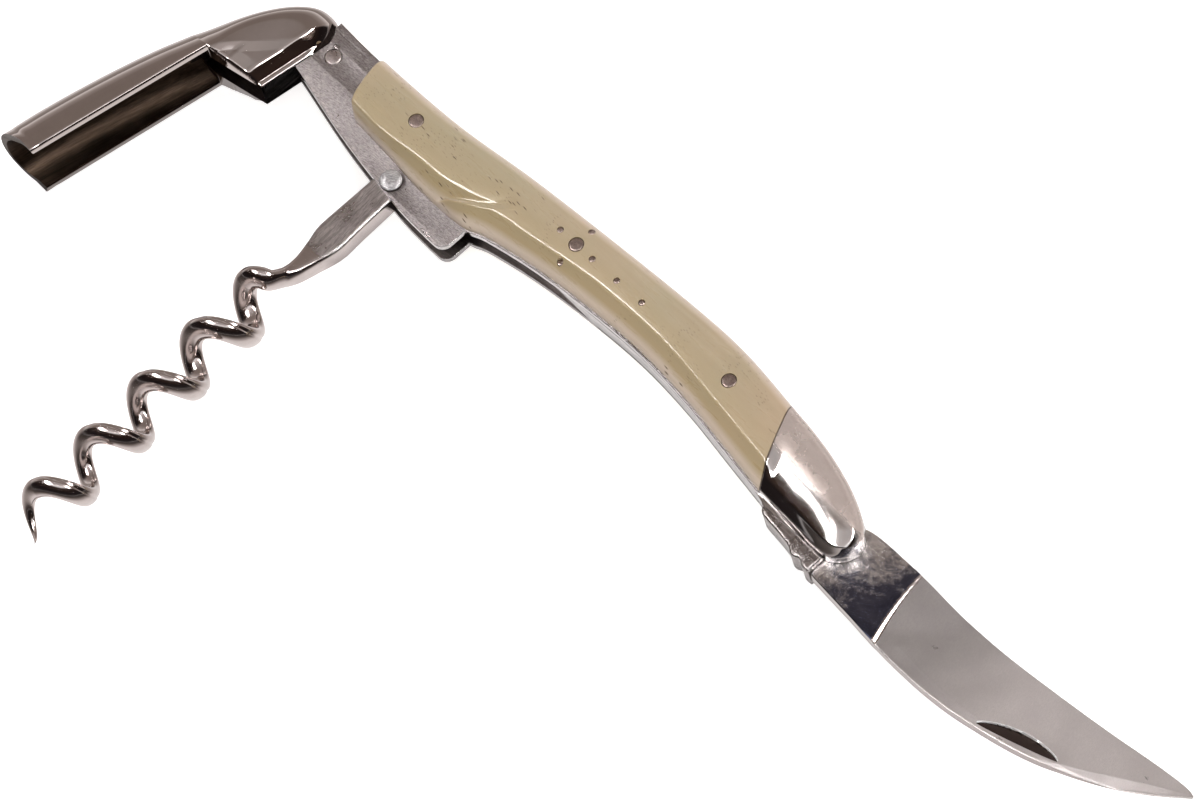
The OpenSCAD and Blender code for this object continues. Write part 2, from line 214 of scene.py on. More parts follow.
# ---------------------------------------------------------------- mesh helpers
def shade(mesh, sharp):
    mesh.polygons.foreach_set("use_smooth", [True] * len(mesh.polygons))
    mesh.set_sharp_from_angle(angle=math.radians(sharp))


def weld(mesh, distance):
    work = bmesh.new()
    work.from_mesh(mesh)
    bmesh.ops.remove_doubles(work, verts=work.verts, dist=distance)
    bmesh.ops.dissolve_degenerate(work, edges=work.edges, dist=1e-7)
    bmesh.ops.recalc_face_normals(work, faces=work.faces)
    work.to_mesh(mesh)
    work.free()


def link(name, data):
    piece = bpy.data.objects.new(name, data)
    bpy.context.scene.collection.objects.link(piece)
    return piece


def evaluated_mesh(piece):
    bpy.context.view_layer.update()
    graph = bpy.context.evaluated_depsgraph_get()
    return bpy.data.meshes.new_from_object(piece.evaluated_get(graph))


def solid(name, points, faces, sharp=32):
    """Object from points in mm."""
    mesh = bpy.data.meshes.new(name)
    mesh.from_pydata([tuple(point) for point in np.asarray(points) * MM], [],
                     [tuple(int(i) for i in face) for face in faces])
    mesh.validate()
    weld(mesh, 2e-6)
    shade(mesh, sharp)
    return link(name, mesh)


def section(x, y, top, bottom):
    """Closed ring: along the top and back along the bottom."""
    upper = np.stack([x, y, top], 1)
    lower = np.stack([x, y, np.full_like(x, bottom)], 1)
    return np.concatenate([upper, lower[::-1]])


def loft(name, rings, sharp, cap="strip"):
    """Skin over closed rings; ends closed by strips between partners, by a fan, or not."""
    rings = np.asarray(rings, float)
    count, size = rings.shape[:2]
    index = np.arange(count * size).reshape(count, size)
    faces = []
    for i in range(count - 1):
        for j in range(size):
            k = (j + 1) % size
            faces.append((index[i, j], index[i, k], index[i + 1, k], index[i + 1, j]))
    points = rings.reshape(-1, 3)
    if cap == "strip":
        for j in range(size // 2 - 1):
            far, near = size - 1 - j, size - 2 - j
            faces.append((index[0, far], index[0, near], index[0, j + 1], index[0, j]))
            faces.append((index[-1, j], index[-1, j + 1], index[-1, near], index[-1, far]))
    elif cap == "fan":
        points = np.vstack([points, rings[0].mean(0), rings[-1].mean(0)])
        for j in range(size):
            k = (j + 1) % size
            faces.append((count * size, index[0, k], index[0, j]))
            faces.append((count * size + 1, index[-1, j], index[-1, k]))
    return solid(name, points, faces, sharp)


def mirror(name, piece):
    """The matching rear piece, mirrored about the middle plane."""
    mesh = piece.data.copy()
    mesh.name = name
    places = np.zeros(len(mesh.vertices) * 3)
    mesh.vertices.foreach_get("co", places)
    places[2::3] = TOP * MM - places[2::3]
    mesh.vertices.foreach_set("co", places)
    mesh.flip_normals()
    mesh.update()
    return link(name, mesh)


def plate(name, outline, bottom, top, holes=(), bevel=0.10, sharp=35):
    """Flat plate with rounded edges and round holes, given as (centre, radius)."""
    curve = bpy.data.curves.new(name, "CURVE")
    curve.dimensions = "2D"
    curve.fill_mode = "BOTH"
    curve.extrude = (top - bottom) / 2 * MM - bevel * MM
    curve.bevel_depth = bevel * MM
    curve.bevel_resolution = 2
    curve.offset = -bevel * MM
    rounds = [arc(centre, radius, 0, 360, 40)[:-1][::-1] for centre, radius in holes]
    for line in [outline] + rounds:
        loop = curve.splines.new("POLY")
        loop.points.add(len(line) - 1)
        for target, point in zip(loop.points, line):
            target.co = (point[0] * MM, point[1] * MM, 0, 1)
        loop.use_cyclic_u = True
    source = link(name + "_c", curve)
    mesh = evaluated_mesh(source)
    bpy.data.objects.remove(source)
    mesh.transform(Matrix.Translation((0, 0, (bottom + top) / 2 * MM)))
    weld(mesh, 1.5e-6)
    shade(mesh, sharp)
    mesh.name = name
    return link(name, mesh)


def lathe(name, centre, profile, sides=56):
    """Turned piece: profile is a list of (radius, z), first and last on the axis."""
    points = [(centre[0], centre[1], profile[0][1])]
    for radius, z in profile[1:-1]:
        for k in range(sides):
            angle = 2 * math.pi * k / sides
            points.append((centre[0] + radius * math.cos(angle),
                           centre[1] + radius * math.sin(angle), z))
    points.append((centre[0], centre[1], profile[-1][1]))
    rows = len(profile) - 2

    def index(i, k):
        return 1 + i * sides + k % sides

    faces = []
    for k in range(sides):
        faces.append((0, index(0, k), index(0, k + 1)))
        faces.append((len(points) - 1, index(rows - 1, k + 1), index(rows - 1, k)))
        for i in range(rows - 1):
            faces.append((index(i, k), index(i + 1, k), index(i + 1, k + 1), index(i, k + 1)))
    return solid(name, points, faces, 35)


def bore(piece, holes, bottom, top, sides=40):
    """Cuts round pockets, given as (centre, radius), between two levels."""
    points, faces = [], []
    for centre, radius in holes:
        base = len(points)
        for z in (bottom, top):
            for k in range(sides):
                angle = 2 * math.pi * k / sides
                points.append((centre[0] + radius * math.cos(angle),
                               centre[1] + radius * math.sin(angle), z))
        faces.append([base + sides - 1 - k for k in range(sides)])
        faces.append([base + sides + k for k in range(sides)])
        for k in range(sides):
            after = (k + 1) % sides
            faces.append((base + k, base + after, base + sides + after, base + sides + k))
    cutter = solid("cutter", points, faces)
    cut = piece.modifiers.new("b", "BOOLEAN")
    cut.operation = "DIFFERENCE"
    cut.solver = "EXACT"
    cut.object = cutter
    mesh = evaluated_mesh(piece)
    piece.modifiers.clear()
    piece.data = mesh
    shade(mesh, 32)
    bpy.data.objects.remove(cutter)


def fit(piece, look, body, node, extra=()):
    """Gives a piece its materials, hangs it under its body and hides the CAD node it stands
    for.
    """
    piece.data.materials.clear()
    piece.data.materials.append(look.owner)
    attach(piece, body)
    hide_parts(node)
    for other in extra:
        piece.data.materials.append(other.owner)


def fit_pair(front, rear_name, look, front_node, rear_node, extra=()):
    """Mirrors a front handle piece and fits both."""
    rear = mirror(rear_name, front)
    fit(front, look, "handle", front_node, extra)
    fit(rear, look, "handle", rear_node, extra)
    return front, rear


def paint(piece, choose):
    """Sets each face's material slot from choose(centre in mm, normal)."""
    for face in piece.data.polygons:
        face.material_index = choose(np.array(face.center) / MM, np.array(face.normal))


# ---------------------------------------------------------------- node helpers
class Graph:
    """Builds the nodes of a material or world; inputs take sockets or plain values."""

    def __init__(self, owner):
        self.owner = owner
        owner.use_nodes = True
        self.tree = owner.node_tree
        self.shader = self.tree.nodes.get("Principled BSDF")

    def feed(self, node, inputs):
        for key, value in inputs.items():
            socket = node.inputs[key]
            if isinstance(value, bpy.types.NodeSocket):
                self.tree.links.new(value, socket)
            else:
                socket.default_value = (*value, 1) if socket.type == "RGBA" else value

    def node(self, kind, inputs=None, **settings):
        made = self.tree.nodes.new("ShaderNode" + kind)
        for key, value in settings.items():
            setattr(made, key, value)
        self.feed(made, inputs or {})
        return made

    def surface(self, inputs):
        self.feed(self.shader, inputs)

    def source(self, key):
        """What feeds an input of the main shader now."""
        return self.shader.inputs[key].links[0].from_socket

    def math(self, operation, *terms):
        return self.node("Math", dict(enumerate(terms)), operation=operation).outputs[0]

    def dot(self, vector, direction):
        node = self.node("VectorMath", {0: vector, 1: direction}, operation="DOT_PRODUCT")
        return node.outputs["Value"]

    def split(self, vector):
        return self.node("SeparateXYZ", {0: vector}).outputs

    def coords(self, stretch, turn=0.0):
        """Object coordinates, multiplied along each axis and turned about z (radians)."""
        return self.node("Mapping", {"Vector": self.node("TexCoord").outputs["Object"],
                                     "Scale": [1.0 / factor for factor in stretch],
                                     "Rotation": (0, 0, turn)},
                         vector_type="TEXTURE").outputs["Vector"]

    def noise(self, stretch=(1, 1, 1), scale=1.0, detail=4, rough=0.6, distort=0.0, turn=0.0):
        return self.node("TexNoise", {"Vector": self.coords(stretch, turn), "Scale": scale,
                                      "Detail": detail, "Roughness": rough,
                                      "Distortion": distort}).outputs["Fac"]

    def ramp(self, value, stops):
        """Colour ramp; stops are (position, colour)."""
        made = self.node("ValToRGB", {"Fac": value})
        made.color_ramp.interpolation = "LINEAR"
        elements = made.color_ramp.elements
        while len(elements) > 1:
            elements.remove(elements[-1])
        elements[0].position, elements[0].color = stops[0][0], (*stops[0][1], 1)
        for position, colour in stops[1:]:
            elements.new(position).color = (*colour, 1)
        return made.outputs["Color"]

    def remap(self, value, given, wanted=(0, 1), kind="LINEAR"):
        """Maps the given (from, to) range onto the wanted one, clamped."""
        return self.node("MapRange", {"Value": value, "From Min": given[0],
                                      "From Max": given[1], "To Min": wanted[0],
                                      "To Max": wanted[1]},
                         interpolation_type=kind).outputs["Result"]

    def mix(self, share, first, second):
        return self.node("Mix", {0: share, 6: first, 7: second}, data_type="RGBA").outputs[2]

    def bump(self, height, strength, distance, normal=None):
        inputs = {"Height": height, "Strength": strength, "Distance": distance}
        if normal is not None:
            inputs["Normal"] = normal
        return self.node("Bump", inputs).outputs["Normal"]

    def offset(self, point):
        """x and y measured from a point in mm, and the plain z in metres."""
        place = self.split(self.node("TexCoord").outputs["Object"])
        x, y = (self.math("SUBTRACT", self.math("MULTIPLY", place[i], 1000.0), point[i])
                for i in (0, 1))
        return x, y, place[2]

    def side_of(self, start, end):
        """Distance in mm from a line, positive on its left."""
        span = np.array(end, float) - start
        along = span / np.linalg.norm(span)
        x, y, _ = self.offset(start)
        return self.math("SUBTRACT", self.math("MULTIPLY", y, along[0]),
                         self.math("MULTIPLY", x, along[1]))


# ---------------------------------------------------------------- materials
def steel(name, colour, rough, grain=None, grain_bump=0.0, turn=0.0, vary=0.12,
          scratch=0.02, metal=1.0, streak=0.62, fade=None):
    """Polished or brushed steel.

    grain: noise scales (along x, across) of the brushing, turned about z by `turn`;
    streak: brightness of the darkest brush lines; vary: unevenness of the colour;
    scratch: depth of the fine scratches; fade: (x from, x to, darkening at x from), in mm.
    """
    graph = Graph(bpy.data.materials.new(name))
    fine = graph.noise(scale=260, detail=6)
    tone = graph.mix(graph.remap(fine, (0.35, 0.65)),
                     tuple(part * (1 - vary) for part in colour),
                     tuple(min(1, part * (1 + vary)) for part in colour))
    normal = None
    if grain:
        along, across = grain
        broad = graph.noise((along, across, across), detail=3, rough=0.7, turn=turn)
        narrow = graph.noise((along * 3, across * 2.4, across * 2.4), detail=2, rough=0.7,
                             turn=turn + 0.05)
        lines = graph.math("ADD", broad, narrow)
        tone = graph.mix(graph.remap(lines, (0.82, 1.18)),
                         tuple(part * streak for part in colour), tone)
        normal = graph.bump(lines, strength=grain_bump, distance=0.00004)
    marks = graph.noise((120, 2600, 900), detail=2, rough=0.5, turn=0.7 + turn)
    normal = graph.bump(graph.remap(marks, (0.66, 0.72)), strength=scratch,
                        distance=0.00003, normal=normal)
    if fade:
        x_from, x_to, amount = fade
        x = graph.split(graph.node("TexCoord").outputs["Object"])["X"]
        dark = graph.remap(x, (x_from * MM, x_to * MM), (amount, 0.0))
        tone = graph.mix(dark, tone, (0.0, 0.0, 0.0))
    graph.surface({"Base Color": tone, "Metallic": metal, "Normal": normal,
                   "Roughness": graph.remap(fine, (0.3, 0.7), (rough * 0.8, rough * 1.25))})
    return graph


EDGE_COLOUR = (0.80, 0.77, 0.76)
POLISHED = steel("polished_steel", colour=(0.59, 0.53, 0.505), rough=0.05, vary=0.03,
                 scratch=0.05)
EDGE = steel("polished_edge_steel", colour=EDGE_COLOUR, rough=0.09, grain=(300, 3000),
             grain_bump=0.10, vary=0.06, scratch=0.08)
BOLSTER = steel("bolster_crown_steel", colour=(0.72, 0.62, 0.575), rough=0.26,
                grain=(900, 2400), grain_bump=0.06, vary=0.03, scratch=0.05, metal=0.70,
                streak=0.9)
LINER = steel("liner_steel", colour=(0.53, 0.485, 0.48), rough=0.33, grain=(1300, 6200),
              grain_bump=1.0, turn=0.12, vary=0.07, streak=0.42)
# painted shade: near-black steel for the walls of the lever's slot
SLOT_PAINTED_SHADE = steel("slot_painted_shade_steel", colour=(0.03, 0.022, 0.02), rough=0.5, grain=(300, 3200),
               grain_bump=0.4, vary=0.25)
# painted shade: near-black steel for the liner sides facing the gap and for the sides of the
# worm pivot heads
DARK_PAINTED_SHADE = steel("dark_painted_shade_steel", colour=(0.10, 0.085, 0.08), rough=0.42,
                     grain=(300, 4200), grain_bump=0.5, turn=0.12, vary=0.20)
SPRING = steel("spring_steel", colour=(0.54, 0.50, 0.49), rough=0.26, grain=(260, 5200),
               grain_bump=0.5, vary=0.12, streak=0.5)
PIN = steel("pin_steel", colour=(0.49, 0.39, 0.35), rough=0.33, grain=(1800, 2600),
            grain_bump=0.5, vary=0.18)
STOP = steel("stop_pin_steel", colour=(0.80, 0.72, 0.70), rough=0.33, grain=(1500, 2600),
             grain_bump=0.5, vary=0.16)
SHANK = steel("worm_shank_steel", colour=(0.77, 0.72, 0.71), rough=0.30, grain=(4200, 420),
              grain_bump=0.6, turn=0.06, vary=0.14, streak=0.5)
WORM = steel("worm_steel", colour=(0.66, 0.595, 0.575), rough=0.14, vary=0.06, scratch=0.12)
BLADE = steel("blade_steel", colour=(0.64, 0.592, 0.58), rough=0.34, grain=(6400, 2100),
              grain_bump=0.10, turn=0.25, vary=0.03, scratch=0.0, metal=0.72, streak=0.90,
              fade=(82, 96, 0.38))
PIVOT_HEAD = steel("pivot_head_steel", colour=(0.76, 0.74, 0.75), rough=0.20,
                   grain=(1500, 5200), grain_bump=1.0, turn=0.75, vary=0.08, scratch=0.5,
                   metal=0.62, streak=0.35)
# painted shade: dark steel for the inside of the lever's gutter
TROUGH_PAINTED_SHADE = steel("trough_painted_shade_steel", colour=(0.082, 0.056, 0.040), rough=0.40, grain=(110, 3200),
               grain_bump=0.4, turn=1.30, vary=0.14, streak=0.55)


def polish_bolster_flank(graph):
    """Below the crown edge the bolster turns to brighter, smoother, full metal."""
    side = graph.side_of(crown_edge(0.0), crown_edge(30 / 39))
    crown = graph.remap(side, (-0.55, 0.45))
    flank_rough, crown_metal = 0.07, 0.70
    rough = graph.math("SUBTRACT", graph.source("Roughness"), flank_rough)
    graph.surface({
        "Base Color": graph.mix(crown, EDGE_COLOUR, graph.source("Base Color")),
        "Roughness": graph.math("ADD", graph.math("MULTIPLY", rough, crown), flank_rough),
        "Metallic": graph.math("SUBTRACT", 1.0,
                               graph.math("MULTIPLY", crown, 1.0 - crown_metal))})


def ricasso():
    """Painted reflection in clouds on the hand-polished ricasso: light near the bolster, almost
    black near the plunge.
    """
    graph = Graph(bpy.data.materials.new("ricasso_painted_reflection_steel"))
    cloud = graph.noise((340, 430, 380), detail=7, rough=0.74, distort=0.25, turn=0.5)
    place = graph.split(graph.node("TexCoord").outputs["Object"])
    drift = graph.math("ADD", graph.remap(place["X"], (0.0625, 0.0715), (-0.20, 0.13)),
                       graph.remap(place["Y"], (-0.011, -0.001), (0.10, -0.09)))
    # painted reflection: the base colour runs from near white to near black by place and clouds
    colour = graph.ramp(graph.math("ADD", drift, cloud), [
        (0.26, (0.97, 0.95, 0.94)), (0.38, (0.62, 0.60, 0.61)), (0.48, (0.34, 0.34, 0.38)),
        (0.56, (0.12, 0.125, 0.175)), (0.80, (0.065, 0.068, 0.105))])
    fine = graph.noise(scale=1500, detail=3)
    normal = graph.bump(cloud, strength=0.35, distance=0.0005)
    normal = graph.bump(fine, strength=0.15, distance=0.00008, normal=normal)
    graph.surface({"Metallic": 1.0, "Base Color": colour, "Normal": normal,
                   "Roughness": graph.remap(fine, (0.3, 0.7), (0.10, 0.22))})
    return graph


def pores(graph, stretch, core, depth, patches, gate):
    """Short dark dashes; `core` is their falloff, `gate` picks the patches that have them."""
    cells = graph.node("TexVoronoi", {"Scale": 1.0, "Vector": graph.coords(stretch, -0.10)},
                       feature="F1", voronoi_dimensions="2D").outputs["Distance"]
    return graph.math("MULTIPLY", graph.remap(cells, core, (depth, 0.0)),
                      graph.remap(patches, gate))


def bone():
    graph = Graph(bpy.data.materials.new("bone"))
    bands = graph.noise((16, 120, 80), detail=5, distort=0.4)
    blots = graph.noise(scale=42, detail=3, rough=0.5)
    grain = graph.noise((120, 1100, 700), rough=0.65, distort=0.3)
    base = graph.ramp(bands, [(0.30, (0.335, 0.255, 0.155)), (0.50, (0.385, 0.303, 0.203)),
                              (0.72, (0.43, 0.355, 0.26))])
    tint = graph.ramp(blots, [(0.34, (0.315, 0.28, 0.18)), (0.66, (0.43, 0.315, 0.215))])
    colour = graph.mix(0.55, base, tint)
    colour = graph.mix(graph.remap(grain, (0.35, 0.72), (0.0, 0.16)), colour,
                       (0.20, 0.14, 0.08))

    # distance from the middle plane, so both scales shade alike
    texture = graph.node("TexCoord").outputs
    lift = graph.math("SUBTRACT", graph.split(texture["Object"])["Z"], MID * MM)
    height = graph.math("ABSOLUTE", lift)
    normal = graph.split(texture["Normal"])

    def over_liner(low, high):
        return (LINER_TOP - MID + low) * MM, (LINER_TOP - MID + high) * MM

    # flank towards -y, painted light: yellow under the ridge, pale towards the foot
    flank = graph.math("MULTIPLY", graph.remap(normal["Y"], (0.05, -0.35)),
                       graph.remap(height, over_liner(0, 3.3), (0.95, 0.55)))
    flank_painted_light = graph.ramp(graph.remap(height, over_liner(0, 3.4)), [
        (0.10, (0.42, 0.34, 0.27)), (0.38, (0.56, 0.46, 0.38)),
        (0.62, (0.40, 0.30, 0.165)), (0.95, (0.37, 0.285, 0.155))])
    colour = graph.mix(flank, colour, flank_painted_light)
    # painted shade: darker at the foot, against the liner
    colour = graph.mix(graph.remap(height, over_liner(0.25, 0.75), (0.75, 0.0)), colour,
                       (0.16, 0.11, 0.05))
    # painted light: pale where the surface turns towards +y
    colour = graph.mix(graph.remap(normal["Y"], (0.30, 0.85), (0.0, 0.75)), colour,
                       (0.62, 0.50, 0.42))

    large = pores(graph, (270, 1700, 500), core=(0.07, 0.15), depth=1.0,
                  patches=graph.noise((70, 190, 120), detail=3), gate=(0.52, 0.57))
    small = pores(graph, (640, 2700, 900), core=(0.06, 0.15), depth=0.7,
                  patches=graph.noise((150, 150, 150), detail=2, rough=0.5),
                  gate=(0.54, 0.62))
    # the pores fade on the narrow sides
    facing = graph.remap(graph.math("ABSOLUTE", normal["Z"]), (0.35, 0.62))
    pits = graph.math("MULTIPLY", graph.math("MAXIMUM", large, small), facing)
    colour = graph.mix(pits, colour, (0.09, 0.052, 0.028))

    # thin dark joint against the bolster
    joint = graph.side_of((joint_x(-9.0), -9.0), (joint_x(4.0), 4.0))
    colour = graph.mix(graph.remap(joint, (0.12, 0.26), (0.92, 0.0)), colour,
                       (0.035, 0.022, 0.015))

    relief = graph.bump(graph.math("MULTIPLY", pits, -1.0), strength=0.5, distance=0.00006)
    relief = graph.bump(graph.noise((150, 420, 260)), strength=0.16, distance=0.0002,
                        normal=relief)
    graph.surface({"Base Color": colour, "Normal": relief,
                   "Roughness": graph.remap(grain, (0.3, 0.7), (0.24, 0.36)),
                   "Subsurface Weight": 0.12, "Subsurface Radius": (0.9, 0.6, 0.35),
                   "Subsurface Scale": 0.0012, "Coat Weight": 1.0,
                   "Coat Roughness": 0.045})
    return graph


polish_bolster_flank(BOLSTER)
RICASSO_PAINTED_REFLECTION = ricasso()
BONE = bone()

# ---------------------------------------------------------------- scales
# ridges between flank and crown, (x, y): one for each side of the sculpted shoulder
RIDGES = (
    spline([[-46, -6.5], [-41, -6.6], [-36.3, -6.85], [-33, -6.75], [-29.7, -6.33],
            [-26.4, -6.02], [-23, -5.85], [-20.1, -5.24], [-17.6, -4.57], [-15, -3.6],
            [-11, -2.0]], 8),
    spline([[-21, -8.4], [-19.4, -7.5], [-17.7, -6.83], [-16.2, -5.6], [-14.5, -4.81],
            [-10.8, -4.03], [-7.6, -3.73], [-3, -3.05], [1.6, -2.38], [8, -1.75],
            [20, -1.6], [32, -2.9], [46, -4.6], [52, -5.4]], 8))
SHOULDER = np.array([[-20.6, -8.8], [-19.6, -7.5], [-16.4, -5.6], [-15.0, -4.9],
                     [-13.4, -3.6], [-12.2, -2.4], [-11, 3]])      # (x, y)


def high_round(position, edge):
    """Falls from 1 to 0 over the rounding along the high edge."""
    share = np.clip((position - (edge - HIGH_ROUND)) / HIGH_ROUND, 0, 1)
    return np.sqrt(np.clip(1 - share ** 2.3, 0, 1))


def flank_height(share, ridge_height):
    """Height of the slightly curved flank; share is 0 at the low edge, 1 at the ridge."""
    return RIM + (ridge_height - RIM) * (share * 0.90 + 0.10 * share * share)


def crown_height(y, ridge, high):
    rise = np.clip((y - ridge) / np.maximum(high - ridge, 0.5), 0, 1)
    height = 3.40 + 0.50 * np.sin(np.clip(rise / 0.5, 0, 1) * math.pi / 2) ** 0.9
    return HIGH_RIM + (height - HIGH_RIM) * high_round(y, high)


def scale_height(x, y):
    """Height of the scale over the liner."""
    low, high = y_on(low_edge, x), y_on(high_edge, x)
    heights = []
    for line in RIDGES:
        ridge = np.maximum(y_on(line, x), low + 0.5)
        blend = np.clip(0.28 * ((RIDGE - RIM) / (ridge - low) - 0.1), 0.1, 0.6)
        flank = flank_height(np.clip((y - low) / (ridge - low), 0, 4), RIDGE)
        heights.append(soft_min(crown_height(y, ridge, high), flank, blend))
    share = smooth((x - np.interp(y, SHOULDER[:, 1], SHOULDER[:, 0]) + 1.2) / 2.4)
    z = heights[0] * (1 - share) + heights[1] * share
    return np.minimum(z - edge_drop(y - low, LIP_R), CROWN)


def scale_top(point):
    """z of the scale's surface at one point."""
    return LINER_TOP + float(scale_height(*(np.array([float(part)]) for part in point))[0])


def scale_rings():
    # points across, packed near the lip, the ridge and the high edge
    across = np.unique(np.round(np.concatenate([
        np.linspace(0, 0.06, 8)[:-1], np.linspace(0.06, 0.42, 46)[:-1],
        np.linspace(0.42, 1, 30), np.linspace(0.93, 1, 30)]), 5))
    rings = []
    for along in np.concatenate([[0, 0.0006, 0.0014, 0.0026, 0.004],
                                 np.linspace(0, 1, 300)[2:]]):
        guess = -44 + 88 * along
        low, high = y_on(low_edge, guess), y_on(high_edge, guess)
        y = low + across * (high - low)
        # x and y depend on each other through the curved ends; three rounds settle them
        for _ in range(3):
            start, end = np.interp(y, scale_end[:, 0], scale_end[:, 1]), joint_x(y) - 0.03
            x = start + along * (end - start)
            low, high = y_on(low_edge, x), y_on(high_edge, x)
            y = low + across * (high - low)
        z = scale_height(x, y)
        # rounded -x end and a soft edge along the joint
        to_joint = joint_x(y) - 0.03 - x
        z = z - edge_drop(x - np.interp(y, scale_end[:, 0], scale_end[:, 1]), 0.5)
        z = z - 0.10 * (1 - np.clip(to_joint / 0.1, 0, 1)) ** 2
        rings.append(section(x, y, LINER_TOP + z, LINER_TOP))
    return rings


def make_scales():
    front = loft("scale_front_v", scale_rings(), 40)
    holes = [(point, RIVET_R + 0.10) for point in RIVETS.values()]
    holes += [(point, INLAY_R + 0.05) for point in INLAY_PINS]
    bore(front, holes, LINER_TOP + 1.2, TOP + 1)
    fit_pair(front, "scale_rear_v", BONE, "scale_front", "scale_rear")


# ---------------------------------------------------------------- bolsters
def bolster_ring(along, across):
    """Section at a share of the way from the joint (0) to the tip of the nose (1)."""
    low, high = point_at(nose_low, along), point_at(nose_high, along)
    points = low + across[:, None] * (high - low)
    width = np.linalg.norm(high - low)
    inset = across * width
    falloff = high_round(inset, width)

    def shape(ridge_share, ridge_height, crown, blend):
        flank = flank_height(np.clip(across / ridge_share, 0, 5), ridge_height)
        top = HIGH_RIM + (np.maximum(crown, HIGH_RIM) - HIGH_RIM) * falloff
        return soft_min(top, flank, blend)

    # next to the bone it follows the bone
    rise = np.clip((across - 0.27) / 0.36, 0, 1)
    bone_crown = 3.40 + 0.55 * np.sin(rise * math.pi / 2)
    at_bone = shape(0.27, RIDGE, bone_crown, 0.5)
    # further on: a narrow flank, a long shoulder and a flat crown
    start = max(3.95 - 0.142 * width, 2.1)
    slope = np.clip(across - 0.15, -0.15, 0.40)
    flat = np.clip(across - 0.55, 0, 0.17)
    nose_crown = start + width * (0.424 * slope - 0.28 * np.maximum(slope, 0) ** 2
                                  + 0.2 * flat - 0.588 * flat ** 2)
    at_nose = shape(0.15, start + 0.02, nose_crown, 0.16)

    share = smooth(along / 0.10)
    z = at_bone * (1 - share) + at_nose * share - edge_drop(inset, LIP_R)
    z = np.clip(z, 0.3, CROWN)
    z = 0.35 + (z - 0.35) * math.sqrt(max(1 - along ** 5, 0.0))
    z = z - 0.10 * (1 - np.clip(along / 0.004, 0, 1)) ** 2
    return section(points[:, 0], points[:, 1], LINER_TOP + z, LINER_TOP)


def make_bolsters():
    across = np.unique(np.r_[np.linspace(0, 0.08, 9), np.linspace(0.08, 0.9, 62),
                             np.linspace(0.9, 1, 14)])
    stations = np.r_[0, 0.002, 0.005, np.linspace(0.01, 0.9, 80),
                     np.sin(np.linspace(math.asin(0.9), math.pi / 2, 40))[1:]]
    front = loft("bolster_front_v", [bolster_ring(along, across) for along in stations], 40)
    pair = fit_pair(front, "bolster_rear_v", BOLSTER, "bolster_front",
                    "bolster_rear", extra=[EDGE])
    for piece in pair:
        paint(piece, lambda centre, normal: int(abs(normal[2]) < 0.12))


# ---------------------------------------------------------------- liners
def liner_face(centre, normal):
    """0 outer side, 1 narrow edge, 2 side facing the gap, painted dark as shade between the
    liners.
    """
    if abs(normal[2]) < 0.8:
        return 1
    return 2 if normal[2] * (MID - centre[2]) > 0 else 0


def make_liners():
    # bulge on the low side of the lever end
    hump = np.concatenate([
        [[-15.3, -8.6]], arc((-17, -11.4), 1.7, 0, -90, 12),
        spline([[-19, -13.1], [-26, -12.7], [-39, -10.8], [-51.5, -8.1], [-57, -6.95]], 12)])
    outline = np.concatenate([
        [[-53.6, 0.5]], high_edge, nose_high[1:-1], [[63.75, -4.2]], nose_low[-2::-1],
        part_of(low_edge[::-1], -14.8, 46) - [0, 0.3], hump,
        arc(LEVER_PIVOT, 3.85, 250, 99, 26)])
    holes = [(LEVER_PIVOT, 1.65), (BLADE_PIVOT, BLADE_PIN_R), (WORM_PIVOT, WORM_PIN_R),
             (STOP_PIN, STOP_R + 0.11)]
    holes += [(point, RIVET_R) for point in RIVETS.values()]
    for side, bottom, top in (("front", GAP_TOP, LINER_TOP),
                              ("rear", LINER_BOTTOM, GAP_BOTTOM)):
        piece = plate(f"liner_{side}_v", outline, bottom, top, holes)
        fit(piece, LINER, "handle", f"liner_{side}",
            extra=[EDGE, DARK_PAINTED_SHADE])
        paint(piece, liner_face)


# ---------------------------------------------------------------- springs
def make_springs():
    # leaf along the low edge
    upper = spline([[-22, -5.6], [-13, -4.3], [-4, -2.4], [6, -2], [18, -1.7], [30, -2.9],
                    [42, -4.7], [52, -6]], 10)
    lower = part_of(low_edge, -13, 46)
    lower[:, 1] -= 0.3 - 1.25 * smooth((8 - lower[:, 0]) / 20)
    leaf = np.concatenate([
        lower, [[47, -8.1], [48.5, -8.9], [60.3, -8.9], [60.3, -7.7]],
        arc(BLADE_PIVOT, 4.75, -58, -125, 10), upper[::-1],
        [[-26, -6.4], [-26, -7.5], [-17, -7.3]]])
    piece = plate("back_spring_leaf", leaf, LEAF_BOTTOM, LEAF_TOP)
    fit(piece, EDGE, "handle", "back_spring")

    # full-width boss standing out below the bolster
    boss = spline([[48.0, -8.55], [48.6, -9.35], [49.7, -9.68], [52.5, -9.95],
                   [54.6, -10.25], [55.6, -10.55], [56.3, -10.98], [57.0, -11.05],
                   [57.5, -10.85], [57.9, -10.72], [58.4, -10.9], [59.1, -11.25],
                   [59.9, -11.3], [60.35, -11.2]], 6)
    piece = plate("back_spring_boss", np.concatenate([boss, [[60.32, -8.35], [54, -8.2]]]),
                  LINER_BOTTOM + 0.02, LINER_TOP - 0.02, bevel=0.38, sharp=30)
    fit(piece, SPRING, "handle", "back_spring")

    # lever spring along the high edge
    outline = np.concatenate([
        [[-50.3, -0.6], [-50.3, 0.9]], part_of(high_edge, -49.6, -15) - [0, 0.25],
        [[-14, 2.6], [-15, 1.2], [-26, -0.5]], [[-40, -0.6]]])
    piece = plate("lever_spring_v", outline, LEAF_BOTTOM, LEAF_TOP)
    fit(piece, SPRING, "handle", "lever_spring")


